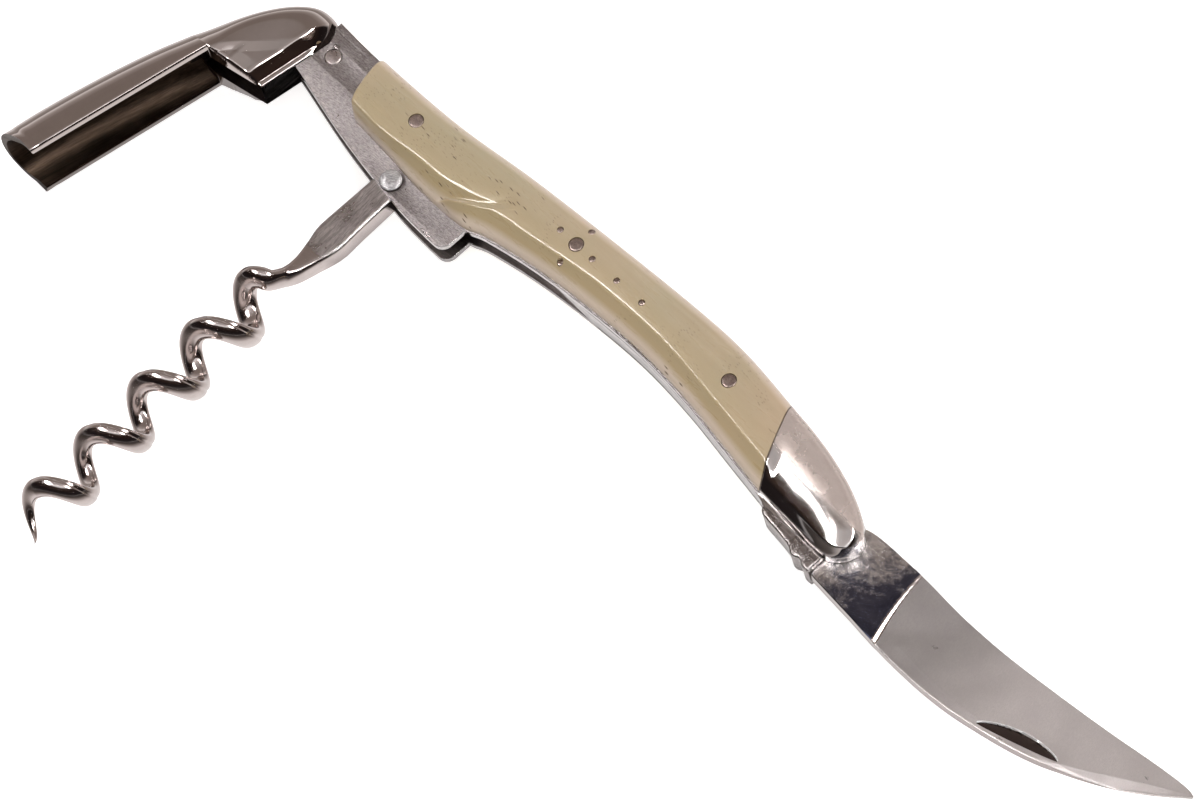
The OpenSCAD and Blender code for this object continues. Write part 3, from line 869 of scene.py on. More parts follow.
# ---------------------------------------------------------------- pins
def flush_pins(name, point, radius, top, depth, dome, front_node, rear_node):
    """Slightly domed pin heads, set flush in the front and the rear scale."""
    profile = [(0, top - depth), (radius, top - depth), (radius, top - 0.10),
               (radius - 0.03, top - 0.03), (radius - 0.10, top)]
    profile += [(radius * share, top + dome * (1 - share * share))
                for share in (0.7, 0.45, 0.2)]
    front = lathe(name + "_top", point, profile + [(0, top + dome)])
    fit_pair(front, name + "_under", PIN, front_node, rear_node)


def round_pin(name, point, radius, low, high, chamfer, step):
    """Plain pin between two levels; the chamfer is its width, the step its height."""
    return lathe(name, point, [(0, low), (radius - chamfer, low), (radius, low + step),
                               (radius, high - step), (radius - chamfer, high), (0, high)])


def make_pins():
    for side, node in (("front", "front_rivet"), ("centre", "centre_rivet"),
                       ("rear", "rear_rivets")):
        flush_pins("rivet_" + side, RIVETS[side], RIVET_R, scale_top(RIVETS[side]),
                   depth=3.2, dome=0.05, front_node=node, rear_node=node)
    for i, point in enumerate(INLAY_PINS):
        # the pin on the flank sits deeper
        sink = 0.25 if point[1] < -3 else 0.03
        flush_pins(f"inlay_{i}", point, INLAY_R, scale_top(point) - sink, depth=1.1,
                   dome=0.03, front_node="inlay_pins_front", rear_node="inlay_pins_rear")

    stop = lathe("stop_pin_v", STOP_PIN, [
        (0, LINER_BOTTOM), (1.05, LINER_BOTTOM), (STOP_R, LINER_BOTTOM + 0.12),
        (STOP_R, LINER_TOP - 0.12), (1.12, LINER_TOP - 0.02), (1.02, LINER_TOP + 0.01),
        (0, LINER_TOP + 0.03)])
    fit(stop, STOP, "handle", "lever_stop_pin")

    # worm pivot: a domed head on each side, mirrored about the middle
    head_r, base, top = 1.75, LINER_TOP + 0.01, LINER_TOP + 0.70
    head = [(WORM_PIN_R, base), (head_r - 0.05, base), (head_r, base + 0.06),
            (head_r, top - 0.36), (head_r - 0.05, top - 0.22), (head_r - 0.16, top - 0.10),
            (head_r - 0.36, top - 0.02), (1.05, top + 0.07), (0.7, top + 0.13),
            (0, top + 0.17)]
    under = [(radius, 2 * MID - z) for radius, z in head]
    pivot = lathe("worm_pivot_pin_v", WORM_PIVOT, under[::-1] + head)
    fit(pivot, PIVOT_HEAD, "handle", "worm_pivot_pin",
        extra=[DARK_PAINTED_SHADE])
    # the sides of the heads get painted shade, a dark ring round each head
    paint(pivot, lambda centre, normal: int(abs(normal[2]) < 0.45))

    pivot = round_pin("blade_pivot_pin_v", BLADE_PIVOT, BLADE_PIN_R, LINER_BOTTOM - 2.3,
                      LINER_TOP + 2.3, chamfer=0.1, step=0.1)
    fit(pivot, PIN, "handle", "blade_pivot_pin")


# ---------------------------------------------------------------- blade
TANG_R = 4.6
RUN_COUNTS = (30, 8, 6, 30, 330)         # points on each run from the tang to the tip
cutting_line = spline([[69.5, -0.3], [74, -0.35], [81.4, -0.5], [89.5, -0.3], [98.9, 0.5],
                       [108.2, 1.5], [117.3, 2.7], [122.5, 3.15], [124.3, 2.9]], 16)
spine_line = spline([[69.5, -11.7], [74, -12.1], [79, -12.35], [86, -12.25], [93, -11.4],
                     [102.9, -9.2], [113.1, -5.2], [119.5, -1.3], [124.3, 2.6]], 16)
# lower limit of the swedge near the point
swedge_line = spline([[104.5, -8.35], [107, -6.95], [110.5, -5.05], [114.5, -2.6],
                      [119, 0.1], [124.2, 2.75]], 10)
SWEDGE_X = 104.5

# plunge line from the cutting edge to the spine
PLUNGE_START, PLUNGE_END = np.array([71.8, -0.4]), np.array([74.1, -11.5])
PLUNGE_SPAN = PLUNGE_END - PLUNGE_START
PLUNGE_NORMAL = np.array([-PLUNGE_SPAN[1], PLUNGE_SPAN[0]]) / np.linalg.norm(PLUNGE_SPAN)

# nail nick chord
NICK_START, NICK_END = np.array([94.3, -10.55]), np.array([106.9, -6.75])
NICK_LENGTH = np.linalg.norm(NICK_END - NICK_START)
NICK_ALONG = (NICK_END - NICK_START) / NICK_LENGTH
NICK_ACROSS = np.array([-NICK_ALONG[1], NICK_ALONG[0]])


def chain(*lines):
    """Evenly spaced runs, end to end."""
    runs = [resample(np.array(line, float), count)
            for line, count in zip(lines, RUN_COUNTS)]
    return np.concatenate([runs[0]] + [run[1:] for run in runs[1:]])


def past_plunge(points, share):
    """Distance past the plunge line, which is slightly bowed."""
    bow = 0.35 * np.sin(np.clip(share, 0, 1) * math.pi)
    return (points - PLUNGE_START) @ PLUNGE_NORMAL + bow


def blade_height(points, share, tip):
    """Half thickness; share runs from spine to edge, tip from the heel (0) to the tip (1)."""
    x, y = points.T
    past = past_plunge(points, share)
    taper = BLADE_HALF * (1 - 0.72 * tip ** 2.2)
    # a first step over the plunge, then the slow run down to the edge
    over = smooth(past / (0.95 - 0.40 * share))
    step = taper - (0.37 - 0.16 * share) * (1 - tip) ** 1.5
    hollow = 0.10 * np.sin(np.clip(share, 0, 1) * math.pi)
    grind = taper * (1 - share) ** 0.97 + 0.12 * share - hollow
    grind = np.maximum(np.minimum(grind, step), 0.12)
    run = smooth((past - 0.4) / 9.0)
    height = taper * (1 - over) + (step * (1 - run) + grind * run) * over
    depth = np.clip(y_on(swedge_line, x) - y, 0, 3)
    fade = np.clip((x - SWEDGE_X) / 3.0, 0, 1)
    return np.where(x > SWEDGE_X, np.maximum(height - 0.30 * depth * fade, 0.13), height)


def nick_depth(points):
    """Depth of the nail nick: a shallow arc with its steep wall on the upper side."""
    along = ((points - NICK_START) @ NICK_ALONG) / NICK_LENGTH
    across = (points - NICK_START) @ NICK_ACROSS
    bulge = np.clip(4 * along * (1 - along), 0, 1)
    upper = 1.55 * bulge ** 0.8
    lower = -0.30 * bulge ** 0.5
    within = (along > 0) & (along < 1) & (across > lower) & (across < upper + 0.12)
    slope = np.clip((across - lower) / np.maximum(upper - lower, 0.05), 0, 1)
    wall = np.clip((upper + 0.12 - across) / 0.12, 0, 1)
    return np.where(within, 0.50 * bulge ** 0.5 * slope ** 1.1 * wall, 0.0)


def shade_nick(graph):
    """Painted shade on the floor of the nail nick and a painted highlight on its lip."""
    calc = graph.math
    x, y, z = graph.offset(NICK_START)
    along = calc("DIVIDE", calc("ADD", calc("MULTIPLY", x, NICK_ALONG[0]),
                                calc("MULTIPLY", y, NICK_ALONG[1])), NICK_LENGTH)
    across = calc("ADD", calc("MULTIPLY", x, NICK_ACROSS[0]),
                  calc("MULTIPLY", y, NICK_ACROSS[1]))
    bulge = calc("MULTIPLY", calc("MULTIPLY", along, calc("SUBTRACT", 1.0, along)), 4.0)
    bulge = calc("MAXIMUM", bulge, 0.0)
    upper = calc("MULTIPLY", calc("POWER", bulge, 0.8), 1.62)
    lower = calc("MULTIPLY", calc("POWER", bulge, 0.5), -0.26)
    live = calc("MULTIPLY", calc("GREATER_THAN", z, MID * MM),
                calc("GREATER_THAN", bulge, 0.001))
    # painted shade: the floor of the nick is coloured near black
    floor = calc("MULTIPLY", live, calc("MULTIPLY", calc("LESS_THAN", across, upper),
                                        calc("GREATER_THAN", across, lower)))
    # painted highlight: a white line along the lip
    lip_end = calc("ADD", upper, 0.28)
    lip = calc("MULTIPLY", live, calc("MULTIPLY", calc("GREATER_THAN", across, upper),
                                      calc("LESS_THAN", across, lip_end)))
    colour = graph.mix(lip, graph.source("Base Color"), (1.0, 1.0, 1.0))
    graph.surface({"Base Color": graph.mix(floor, colour, (0.045, 0.03, 0.026))})


def blade_face(centre, normal):
    """0 ground face, 1 ricasso, 2 polished plunge and narrow edges."""
    if abs(normal[2]) < 0.3 and centre[0] < 122:
        return 2
    share = (centre[:2] - PLUNGE_START) @ PLUNGE_SPAN / (PLUNGE_SPAN @ PLUNGE_SPAN)
    share = min(max(share, 0), 1)
    past = past_plunge(centre[:2], share)
    width = 0.95 - 0.40 * (1 - share)
    if past < 0.02 * width:
        return 1
    return 2 if past < 0.92 * width else 0


def make_blade():
    tang = arc(BLADE_PIVOT, TANG_R, 180, 62, 60)
    tang[:, 1] = np.minimum(tang[:, 1], y_on(nose_high, tang[:, 0]) - 0.4)
    edge = chain(
        tang, [tang[-1], [60.7, -1.05]], [[60.7, -1.05], [61.4, -0.72]],
        spline([[61.4, -0.72], [62.4, -0.52], [63.7, -0.38], [66, -0.3], [69.5, -0.3]], 10),
        cutting_line)
    spine = chain(
        arc(BLADE_PIVOT, TANG_R, 180, 304, 40), [[60.27, -6.71], [60.4, -6.85], [60.45, -7.0]],
        [[60.45, -7.0], [60.45, -10.9], [60.6, -11.08]], [[60.6, -11.08], [69.5, -11.7]],
        spine_line)
    share = np.unique(np.r_[0, 0.004, 0.012, 0.024, np.linspace(0.036, 0.22, 30),
                            np.linspace(0.22, 0.96, 34), 0.975, 0.985, 0.993, 1.0])
    last_run = RUN_COUNTS[-1]
    rings = []
    for i in range(len(edge)):
        points = spine[i] + share[:, None] * (edge[i] - spine[i])
        tip = max(0.0, (i - (len(edge) - last_run)) / (last_run - 1))
        width = np.linalg.norm(edge[i] - spine[i])
        # the tang is eased along both edges, the blade proper only along its spine
        if tip < 0.02:
            inset, keep = np.minimum(share, 1 - share) * width, 1 - 0.9 * tip
        else:
            inset, keep = share * width, 1 - 0.8 * tip
        ease = 0.12 * (1 - np.clip(inset / 0.15, 0, 1)) ** 2 * keep
        height = blade_height(points, share, tip)
        upper = np.maximum(height - nick_depth(points) - ease, 0.05)
        lower = np.maximum(height - ease, 0.05)
        rings.append(section(points[:, 0], points[:, 1], MID + upper, MID - lower))
    blade = loft("blade_v", rings, 30)
    fit(blade, BLADE, "blade", "blade", extra=[RICASSO_PAINTED_REFLECTION, POLISHED])
    shade_nick(BLADE)
    paint(blade, blade_face)


# ---------------------------------------------------------------- worm
# worm coordinates: pivot at the origin, shank along -y, then leaned about z
LEAN_COS, LEAN_SIN = math.cos(math.radians(3.3)), math.sin(math.radians(3.3))
COIL_R, PITCH, TURNS = 3.15, 11.0, 4.7
COIL_START, COIL_SET = 21.4, 2.4          # coil start below the pivot, coil axis towards -x
WIRE = 1.22
SHANK_PATH = [[-0.42, 3.0, 0], [-0.42, 1.5, 0], [-0.45, 0, 0], [-0.6, -4, 0], [-0.8, -8, 0],
              [-0.9, -11.5, 0], [-0.92, -13.5, 0], [-1.05, -15.5, 0], [-1.2, -17.3, 0.05],
              [-1.5, -19.0, 0.2], [-2.0, -20.6, 0.65]]
# (distance below the pivot, half width)
SHANK_WIDTH = np.array([[-3.0, 1.0], [-2.4, 1.9], [-1.5, 2.3], [0, 2.33], [4, 2.4], [8, 2.5],
                        [11.5, 2.62], [12.8, 2.48], [14.2, 2.15], [16, 1.75], [17.5, 1.48],
                        [19.5, 1.28], [21, WIRE]])
# (distance below the pivot, exponent of the section: 2 is an ellipse, 9 nearly a box)
SHANK_SQUARE = np.array([[-3, 9], [11.0, 9], [16, 4.5], [20.5, 2.0]])


def coil_point(turn):
    angle = math.radians(360 * turn + 65)
    spread = 1
    if turn < 0.25:
        spread = turn / 0.25
    elif turn > TURNS - 0.5:
        spread = 1 - 0.4 * (turn - TURNS + 0.5) / 0.5
    radius = COIL_R * math.sin(math.pi / 2 * spread)
    return np.array([-COIL_SET + radius * math.cos(angle), -COIL_START - PITCH * turn,
                     radius * math.sin(angle)])


def worm_face(centre, normal):
    """1 on the flat faces of the shank."""
    x, y, _ = centre - np.array([WORM_PIVOT[0], WORM_PIVOT[1], MID])
    return int(-x * LEAN_SIN + y * LEAN_COS > -15.0 and abs(normal[2]) > 0.5)


def make_worm():
    joined = spline(SHANK_PATH + [coil_point(turn) for turn in (0.09, 0.15, 0.21, 0.27)], 14)
    coil = np.array([coil_point(turn) for turn in np.linspace(0.27, TURNS, 620)])[1:]
    path = resample(np.vstack([joined, coil]), 900)
    tangent = np.gradient(path, axis=0)
    tangent /= np.linalg.norm(tangent, axis=1)[:, None]
    # carry one side vector along the path without twist
    side = np.array([1.0, 0, 0])
    sides = []
    for direction in tangent:
        side = side - (side @ direction) * direction
        side /= np.linalg.norm(side)
        sides.append(side.copy())
    sides = np.array(sides)
    ups = np.cross(tangent, sides)

    drop = -path[:, 1]
    coil_from = np.argmax(path[:, 1] < -22.3)
    half_width = y_on(SHANK_WIDTH, drop)
    square = y_on(SHANK_SQUARE, drop)
    half_width[coil_from:] = WIRE
    square[coil_from:] = 2.0
    half_height = (LEAF_TOP - LEAF_BOTTOM) / 2
    length = run_length(path)
    point_taper = np.clip((length[-1] - length) / 11.0, 0.0, 1) ** 0.75
    point_taper = np.maximum(point_taper, 0.05)

    angle = np.linspace(0, 2 * math.pi, 48, endpoint=False)
    cosine, sine = np.cos(angle), np.sin(angle)
    rings = []
    for i in range(len(path)):
        power = 2 / square[i]
        across = np.sign(cosine) * np.abs(cosine) ** power * half_width[i]
        upward = np.sign(sine) * np.abs(sine) ** power * half_height
        factor = np.ones_like(angle)
        if i >= coil_from:
            # a narrow groove along the outside, and a wire that slims towards the point
            done = (length[i] - length[coil_from]) / (length[-1] - length[coil_from])
            outward = path[i] - np.array([-COIL_SET, path[i][1], 0])
            outer = math.atan2(outward @ ups[i], outward @ sides[i])
            turn = (angle - outer - 0.45 + math.pi) % (2 * math.pi) - math.pi
            fade = min(1, (i - coil_from) / 60)
            factor = 1 - 0.11 * np.exp(-(turn / 0.17) ** 2) * fade
            factor = factor * (1 - 0.17 * smooth(1.1 * done))
        rings.append(path[i] + (across * factor * point_taper[i])[:, None] * sides[i]
                     + (upward * factor * point_taper[i])[:, None] * ups[i])
    x, y, z = np.moveaxis(np.array(rings), -1, 0)
    placed = np.stack([x * LEAN_COS - y * LEAN_SIN + WORM_PIVOT[0],
                       x * LEAN_SIN + y * LEAN_COS + WORM_PIVOT[1], z + MID], -1)
    worm = loft("worm_v", placed, 50, cap="fan")
    fit(worm, WORM, "worm", "worm", extra=[SHANK])
    paint(worm, worm_face)


# ---------------------------------------------------------------- lever
# outer back of the lever, (x, y): domed head round the pivot, then the hollow gutter
dome_line = spline([[-52.3, -1.4], [-52.9, 0.2], [-54, 1.2], [-55.8, 1.7], [-58.1, 1.35],
                    [-60.5, -0.5], [-62.9, -3.6], [-65.2, -7.7], [-67.8, -13.4],
                    [-68.6, -15.2]], 16)
gutter_line = spline([[-68, -13.9], [-70.2, -19.3], [-72.1, -25.2], [-73.8, -31.4],
                      [-75.3, -37.8], [-76.5, -43.9]], 16)
# rim opposite the back: start and end of the head, end of the gutter
RIM_START, RIM_BEND, RIM_END = (np.array(point) for point in (
    [-54.2, -13.5], [-63.2, -15.2], [-69.0, -44.0]))
LEVER_HALF, DOME_HALF, WALL = 6.2, 4.4, 1.2
GUTTER_ROUND = 5.6                        # depth of the gutter's rounded back
SLOT_HALF = (LINER_TOP - LINER_BOTTOM) / 2 + 0.1
MOUTH = np.array([-58.5, -14.0])          # middle of the head's opening
DOME_SHARE = 0.973                        # the head uses this share of dome_line
# slot in the head that takes the handle's end
slot_outline = np.concatenate([
    [[-53.9, 3.0], [-53.9, 0.8]], arc(LEVER_PIVOT, 4.05, 98, 172, 20),
    [[-61.3, -4], [-63.2, -7.5], [-66.4, -14.2], [-66.6, -17]], [[-48, -17], [-48, 3]]])
head_rim = np.array([dome_line[0] + [0.2, 1.2], RIM_START])
crease = spline([[-63.0, -14.6], [-61.2, -12.0], [-59.2, -9.6], [-57.0, -6.9],
                 [-55.0, -4.4], [-53.2, -2.2]], 8)
cheek_zone = np.concatenate([crease, [[-52.3, -1.4], RIM_START, RIM_BEND]])


def cheek_drop(points):
    """The cheek leans in past the curved crease and turns down along the +x rim."""
    to_rim = distance_to(head_rim, points)
    to_crease = distance_to(crease, points)
    past = np.array([inside(point, cheek_zone) for point in points])
    left = smooth((-59.6 - points[:, 0]) / 1.0)
    lean = np.minimum((0.14 + 0.20 * left) * to_crease, 0.20 + 0.16 * left)
    turn = np.clip((2.9 - to_rim) / 0.9, 0, 1)
    steep = 0.9 * 0.82 * (turn ** 3 - 0.5 * turn ** 4)
    return np.where(past, lean, 0.0) + (steep + 0.82 * np.clip(2.0 - to_rim, 0, 1.25))


def lever_ring(back, rim, half_top, half_rim, half_inner, rounding, edge, web=None, bow=0.0,
               cheek=False):
    """Section from the back to the rim and inside back again, then mirrored in z.

    web: solid depth behind a straight-sided slot; None gives a rounded hollow. bow: how far
    the middle is pushed out; edge: rounding of the rim; cheek: adds the shaped cheek.
    """
    depth = np.linalg.norm(rim - back)
    inward = (rim - back) / depth
    across = np.array([-inward[1], inward[0]])
    end = min(rounding, depth - 0.6)
    angle = np.linspace(0, math.acos(1 - end / rounding), 24)
    tail = np.r_[np.linspace(0, 0.45, 14), np.linspace(0.45, 1, 28)[1:]][1:]

    outer = np.r_[rounding * (1 - np.cos(angle)), end + (depth - end) * tail]
    filled = np.clip(outer / rounding, 0, 1)
    height = half_top * np.sqrt(np.clip(1 - (1 - filled) ** 2, 0, 1))
    height = height - max(half_top - half_rim, 0) * smooth(1 - (depth - outer) / 2.6) * filled
    points = back + outer[:, None] * inward
    to_edge = depth - outer
    if cheek:
        height = height - cheek_drop(points)
        to_edge = np.minimum(to_edge, distance_to(head_rim, points))

    if web is None:
        small = rounding - WALL
        start = WALL + small * end / rounding
        inner = np.r_[WALL + small * (1 - np.cos(angle)), start + (depth - start) * tail]
        filled = np.clip((inner - WALL) / small, 0, 1)
        inner_height = half_inner * np.sqrt(np.clip(1 - (1 - filled) ** 2, 0, 1))
    else:
        inner = web + (depth - web) * np.r_[np.linspace(0, 0.02, 8)[:-1],
                                            np.linspace(0.02, 1, 57)]
        inner_height = np.interp(inner - web, [0, 0.12, 0.35],
                                 [0, half_inner * 0.93, half_inner])

    # round the edges, no deeper than the wall is thick
    wall = np.clip(height - np.interp(outer, inner, inner_height), 0.0, None)
    share = np.clip(to_edge / edge, 0, 1)
    round_off = 1 - np.sqrt(np.clip(1 - (1 - share) ** 2, 0, 1))
    rounded = height - np.minimum(wall, edge) * round_off

    def side(distance, profile, half, z):
        push = bow * np.cos(np.arcsin(np.clip(profile / half, 0, 1)))
        place = back + distance[:, None] * inward - push[:, None] * across
        return np.column_stack([place, z])

    half_ring = np.concatenate([
        side(outer, height, half_top, rounded),
        side(inner, inner_height, half_inner, inner_height)[::-1]])
    return np.concatenate([half_ring, (half_ring * [1, 1, -1])[::-1]])


def head_ring(share):
    back = point_at(dome_line, DOME_SHARE * share)
    rim = RIM_START + (RIM_BEND - RIM_START) * min(1.0, share ** 1.3)
    depth = np.linalg.norm(rim - back)
    inward = (rim - back) / depth
    web = 0.25
    while web < depth - 1 and not inside(back + inward * web, slot_outline):
        web += 0.05
    widen = LEVER_HALF - DOME_HALF
    return lever_ring(back, rim, DOME_HALF + widen * smooth((share - 0.25) / 0.75),
                      DOME_HALF + widen * smooth((share - 0.38) / 0.62), SLOT_HALF,
                      rounding=5.0 + 0.6 * smooth((share - 0.4) / 0.6), edge=0.75, web=web,
                      cheek=True)


def gutter_back(share):
    return point_at(gutter_line, 0.045 + 0.955 * share)


def gutter_rim(share):
    return RIM_BEND + (RIM_END - RIM_BEND) * share


def gutter_ring(share):
    back = gutter_back(share)
    if share < 0.12:
        # straight lead from the head into the gutter line
        start = point_at(dome_line, DOME_SHARE)
        back = start + (gutter_back(0.12) - start) * share / 0.12
    rim = gutter_rim(share)
    half = LEVER_HALF + 0.28 * share
    if share == 0:
        return lever_ring(back, rim, half, half, SLOT_HALF, GUTTER_ROUND, edge=0.5, web=1.9)
    flare = 0.10 * smooth((share - 0.93) / 0.07)
    dip = 0.12 * math.exp(-((share - 0.955) / 0.018) ** 2)
    claw = 0.9 * max(0, (share - 0.8) / 0.2) ** 2
    return lever_ring(back, rim, half - dip + flare, min(half, 6.45), half - WALL,
                      GUTTER_ROUND, edge=0.5, bow=claw)


def close_ends(mesh):
    """Merges the seam on the middle plane and fills the open ends."""
    work = bmesh.new()
    work.from_mesh(mesh)
    bmesh.ops.remove_doubles(work, verts=work.verts, dist=3e-6)
    border = [line for line in work.edges if line.is_boundary]
    bmesh.ops.holes_fill(work, edges=border, sides=0)
    bmesh.ops.recalc_face_normals(work, faces=work.faces)
    work.to_mesh(mesh)
    work.free()


def lever_face(centre, normal, to_back):
    """0 outside, 1 trough of the gutter, 2 walls of the slot; 1 and 2 are painted dark as shade
    inside the lever.
    """
    off_middle = abs(centre[2] - MID)
    to_mouth = MOUTH - centre[:2]
    facing = normal[:2] @ to_mouth
    looks_in = facing / np.linalg.norm(to_mouth) > -0.25
    outer_back = to_back < 0.95 and abs(normal[2]) < 0.9 and not facing > 0
    slot_end = (off_middle < SLOT_HALF - 0.1 and centre[1] > RIM_BEND[1] - 1.5
                and centre[0] > -67.5)
    if (off_middle < SLOT_HALF + 0.03 and looks_in and not outer_back
            and (abs(normal[2]) > 0.5 or slot_end)):
        return 2
    if centre[1] < RIM_BEND[1] + 0.2:
        share = np.clip((RIM_BEND[1] - centre[1]) / (RIM_BEND[1] - RIM_END[1]), 0, 1)
        back = gutter_back(share)
        span = gutter_rim(share) - back
        inward = span / np.linalg.norm(span)
        depth = (centre[:2] - back) @ inward
        if depth > GUTTER_ROUND:
            faces_in = normal[2] * (MID - centre[2]) > 0.0
        else:
            faces_in = normal[:2] @ inward > 0
        if (faces_in and off_middle < LEVER_HALF - WALL + 0.35
                and depth < np.linalg.norm(span) - 0.25):
            return 1
    return 0


def make_lever():
    head = np.r_[0.0, 0.004, 0.010, 0.018, 0.028, np.linspace(0.04, 1, 96)]
    gutter = np.r_[0.0, 0.0015, 0.01, np.linspace(0.03, 0.985, 90), 0.992, 0.997, 1.0]
    rings = np.array([head_ring(share) for share in head]
                     + [gutter_ring(share) for share in gutter])
    rings[..., 2] += MID
    lever = loft("lever_shell_v", rings, 38, cap="none")
    close_ends(lever.data)
    shade(lever.data, 38)
    fit(lever, POLISHED, "lever", "lever_shell", extra=[TROUGH_PAINTED_SHADE, SLOT_PAINTED_SHADE])
    faces = lever.data.polygons
    middles = np.array([tuple(face.center) for face in faces]) / MM
    for face, centre, to_back in zip(faces, middles, distance_to(dome_line, middles[:, :2])):
        face.material_index = lever_face(centre, np.array(face.normal), to_back)

    reach = DOME_HALF - 0.25
    pin = round_pin("lever_pivot_pin_v", LEVER_PIVOT, 1.6, MID - reach, MID + reach,
                    chamfer=0.15, step=0.15)
    fit(pin, PIN, "lever", "lever_pivot_pin")

    cam = frame["nodes"]["lever_cam"]
    cam.data.materials.clear()
    cam.data.materials.append(SPRING.owner)
    bevel = cam.modifiers.new("edge", "BEVEL")
    bevel.width = 0.00012
    bevel.segments = 2
    bevel.limit_method = "ANGLE"


# ---------------------------------------------------------------- stage
BRIGHT_SIDE = (0.7071, -0.7071, 0.0)      # direction from which the gloss is lit


def floor_material():
    graph = Graph(bpy.data.materials.new("floor"))
    graph.surface({
        "Base Color": graph.mix(graph.noise(scale=9, detail=3, rough=0.5),
                                (0.80, 0.795, 0.79), (0.83, 0.825, 0.82)),
        "Roughness": 0.6, "Emission Color": (1, 0.99, 0.985), "Emission Strength": 0.62})

    # seen in polished metal the floor falls off to dark at a flat angle
    incoming = graph.node("NewGeometry").outputs["Incoming"]
    steep = graph.math("ABSOLUTE", graph.split(incoming)["Z"])
    dark_side = graph.ramp(steep, [
        (0.0, (0.03, 0.024, 0.022)), (0.22, (0.10, 0.085, 0.078)),
        (0.42, (0.42, 0.38, 0.365)), (0.62, (0.88, 0.84, 0.83)), (1.0, (1.0, 0.97, 0.96))])
    light_side = graph.ramp(steep, [
        (0.0, (0.30, 0.26, 0.245)), (0.30, (0.40, 0.36, 0.34)), (0.55, (0.82, 0.78, 0.77)),
        (1.0, (1.0, 0.97, 0.96))])
    side = graph.remap(graph.dot(incoming, BRIGHT_SIDE), (-0.05, 0.25))
    colour = graph.mix(side, dark_side, light_side)

    # painted shadow: seen in gloss, the floor close under the knife is dimmer, except beyond a
    # slanted line at low y
    ray = graph.node("LightPath").outputs["Ray Length"]
    under = graph.remap(ray, (0.0040, 0.0095), (0.42, 1.0))
    place = graph.split(graph.node("NewGeometry").outputs["Position"])
    slant = graph.math("MULTIPLY_ADD", place["X"], -2.107, place["Y"])
    spared = graph.math("MULTIPLY", graph.remap(slant, (0.084, 0.092), (1.0, 0.0)),
                        graph.remap(place["Y"], (-0.020, -0.026)))
    glow = graph.node("Emission", {"Color": colour,
                                   "Strength": graph.math("MAXIMUM", under, spared)})
    final = graph.node("MixShader", {0: graph.node("LightPath").outputs["Is Glossy Ray"],
                                     1: graph.shader.outputs[0], 2: glow.outputs[0]})
    graph.feed(graph.tree.nodes["Material Output"], {"Surface": final.outputs[0]})
    return graph.owner


def make_floor():
    material = floor_material()
    bpy.ops.mesh.primitive_grid_add(x_subdivisions=8, y_subdivisions=8, size=12.0,
                                    location=(0, 0, -0.00002))
    floor = bpy.context.object
    floor.name = "floor"
    floor.data.materials.append(material)


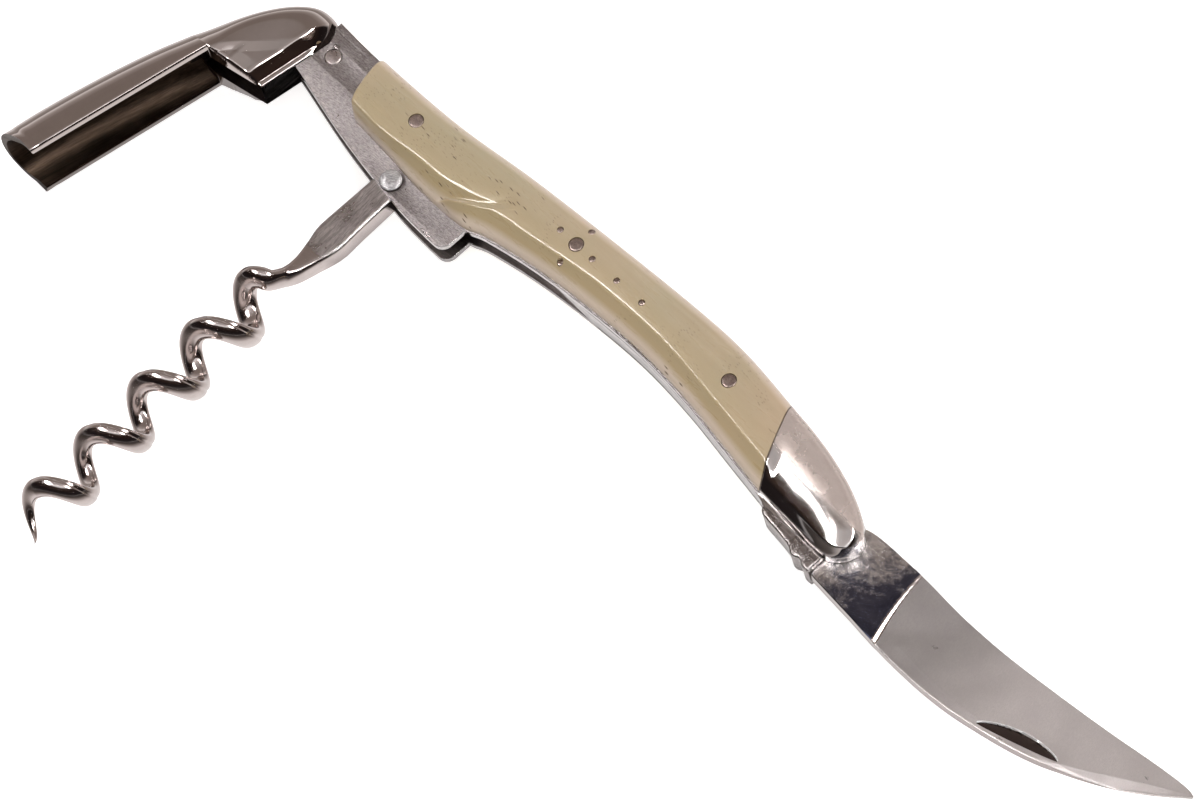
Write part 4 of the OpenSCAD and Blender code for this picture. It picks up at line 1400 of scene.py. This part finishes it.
def make_world():
    """Studio surroundings: a gradient seen in gloss, flat tones for the rest."""
    world = bpy.data.worlds.new("studio")
    bpy.context.scene.world = world
    graph = Graph(world)
    graph.tree.nodes.clear()
    direction = graph.node("TexCoord").outputs["Generated"]
    from_top = graph.math("ARCCOSINE", graph.split(direction)["Z"])
    level = graph.math("MAXIMUM", graph.math("SINE", from_top), 0.02)
    # 1 towards the bright side, -1 away from it, at any height
    towards = graph.math("DIVIDE", graph.dot(direction, BRIGHT_SIDE), level)
    tilt = graph.remap(from_top, (0, math.pi / 2))

    def by_degrees(stops):
        return graph.ramp(tilt, [(degrees / 90, colour) for degrees, colour in stops])

    def soft(start, end):
        return graph.remap(towards, (start, end), kind="SMOOTHSTEP")

    # stops are (degrees from straight up, colour)
    zenith, panel, slit = (0.44, 0.41, 0.40), (1.3, 1.28, 1.28), (0.06, 0.06, 0.085)
    away = by_degrees([
        (0, zenith), (14, (0.34, 0.30, 0.285)), (27, (0.26, 0.218, 0.195)),
        (40, (0.26, 0.215, 0.195)), (58, (0.27, 0.225, 0.205)), (74, (0.42, 0.37, 0.35)),
        (90, (0.95, 0.91, 0.89))])
    bright = by_degrees([
        (0, zenith), (14, (0.48, 0.44, 0.425)), (24, (0.58, 0.53, 0.52)),
        (28, (0.95, 0.92, 0.92)), (33.4, panel), (34.0, slit), (35.2, slit), (35.8, panel),
        (39, panel), (41, (0.05, 0.032, 0.025)), (70, (0.014, 0.010, 0.010)),
        (87, (0.02, 0.016, 0.016)), (90, (0.4, 0.38, 0.38))])
    colour = graph.mix(soft(-0.42, -0.06), away, bright)

    # two narrow bright strips
    black, white = (0, 0, 0), (1, 1, 1)
    strip = by_degrees([(29, black), (30.5, white), (33.2, white), (33.8, black),
                        (35.9, black), (36.6, white), (38.6, white), (40, black)])
    strip = graph.math("MULTIPLY", strip, soft(-0.34, -0.12))
    strip = graph.math("MULTIPLY", strip, soft(0.75, 0.5))
    strip_gain, base_gain = 20.0, 1.0
    strength = graph.math("MULTIPLY_ADD", strip, strip_gain, base_gain)

    rays = graph.node("LightPath").outputs
    in_gloss = graph.node("Background", {"Color": colour, "Strength": strength})
    in_diffuse = graph.node("Background", {"Color": (0.50, 0.49, 0.48)})
    lit = graph.node("MixShader", {0: rays["Is Glossy Ray"], 1: in_diffuse.outputs[0],
                                   2: in_gloss.outputs[0]})
    backdrop = graph.node("Background", {"Color": (0.93, 0.925, 0.92)})
    final = graph.node("MixShader", {0: rays["Is Camera Ray"], 1: lit.outputs[0],
                                     2: backdrop.outputs[0]})
    graph.node("OutputWorld", {"Surface": final.outputs[0]})
    # the setting exists only while Cycles is enabled
    if hasattr(world, "cycles"):
        world.cycles.sampling_method = "NONE"


def area_light(name, location, size, power):
    """Square light aimed at the knife and kept out of reflections."""
    data = bpy.data.lights.new(name, "AREA")
    data.size = size
    data.energy = power
    light = link(name, data)
    light.location = location
    aim = Vector((0, -0.02, 0)) - Vector(location)
    light.rotation_euler = aim.to_track_quat("-Z", "Y").to_euler()
    light.visible_glossy = False


def make_camera():
    data = bpy.data.cameras.new("camera")
    camera = link("camera", data)
    data.sensor_width = 36
    data.lens = 426.0
    data.clip_start, data.clip_end = 0.05, 60
    backward = Vector((0.43134, -0.204026, 0.878817))
    right = Vector((0.663098, 0.732209, -0.155471))
    upward = Vector((-0.611758, 0.649803, 0.45112))
    target = Vector((0.02099, -0.01436, TOP * MM))
    distance = 2.0
    turn = Matrix((right, upward, backward)).transposed().to_4x4()
    camera.matrix_world = Matrix.Translation(target + backward * distance) @ turn
    bpy.context.scene.camera = camera


make_scales()
make_bolsters()
make_liners()
make_springs()
make_pins()
make_blade()
make_worm()
make_lever()
make_floor()
make_world()
area_light("key", location=(-0.35, 0.55, 1.0), size=0.8, power=11)
area_light("fill", location=(0.6, -0.5, 0.9), size=1.0, power=6)
make_camera()
bpy.context.scene.view_settings.view_transform = "Standard"
bpy.context.scene.view_settings.look = "None"
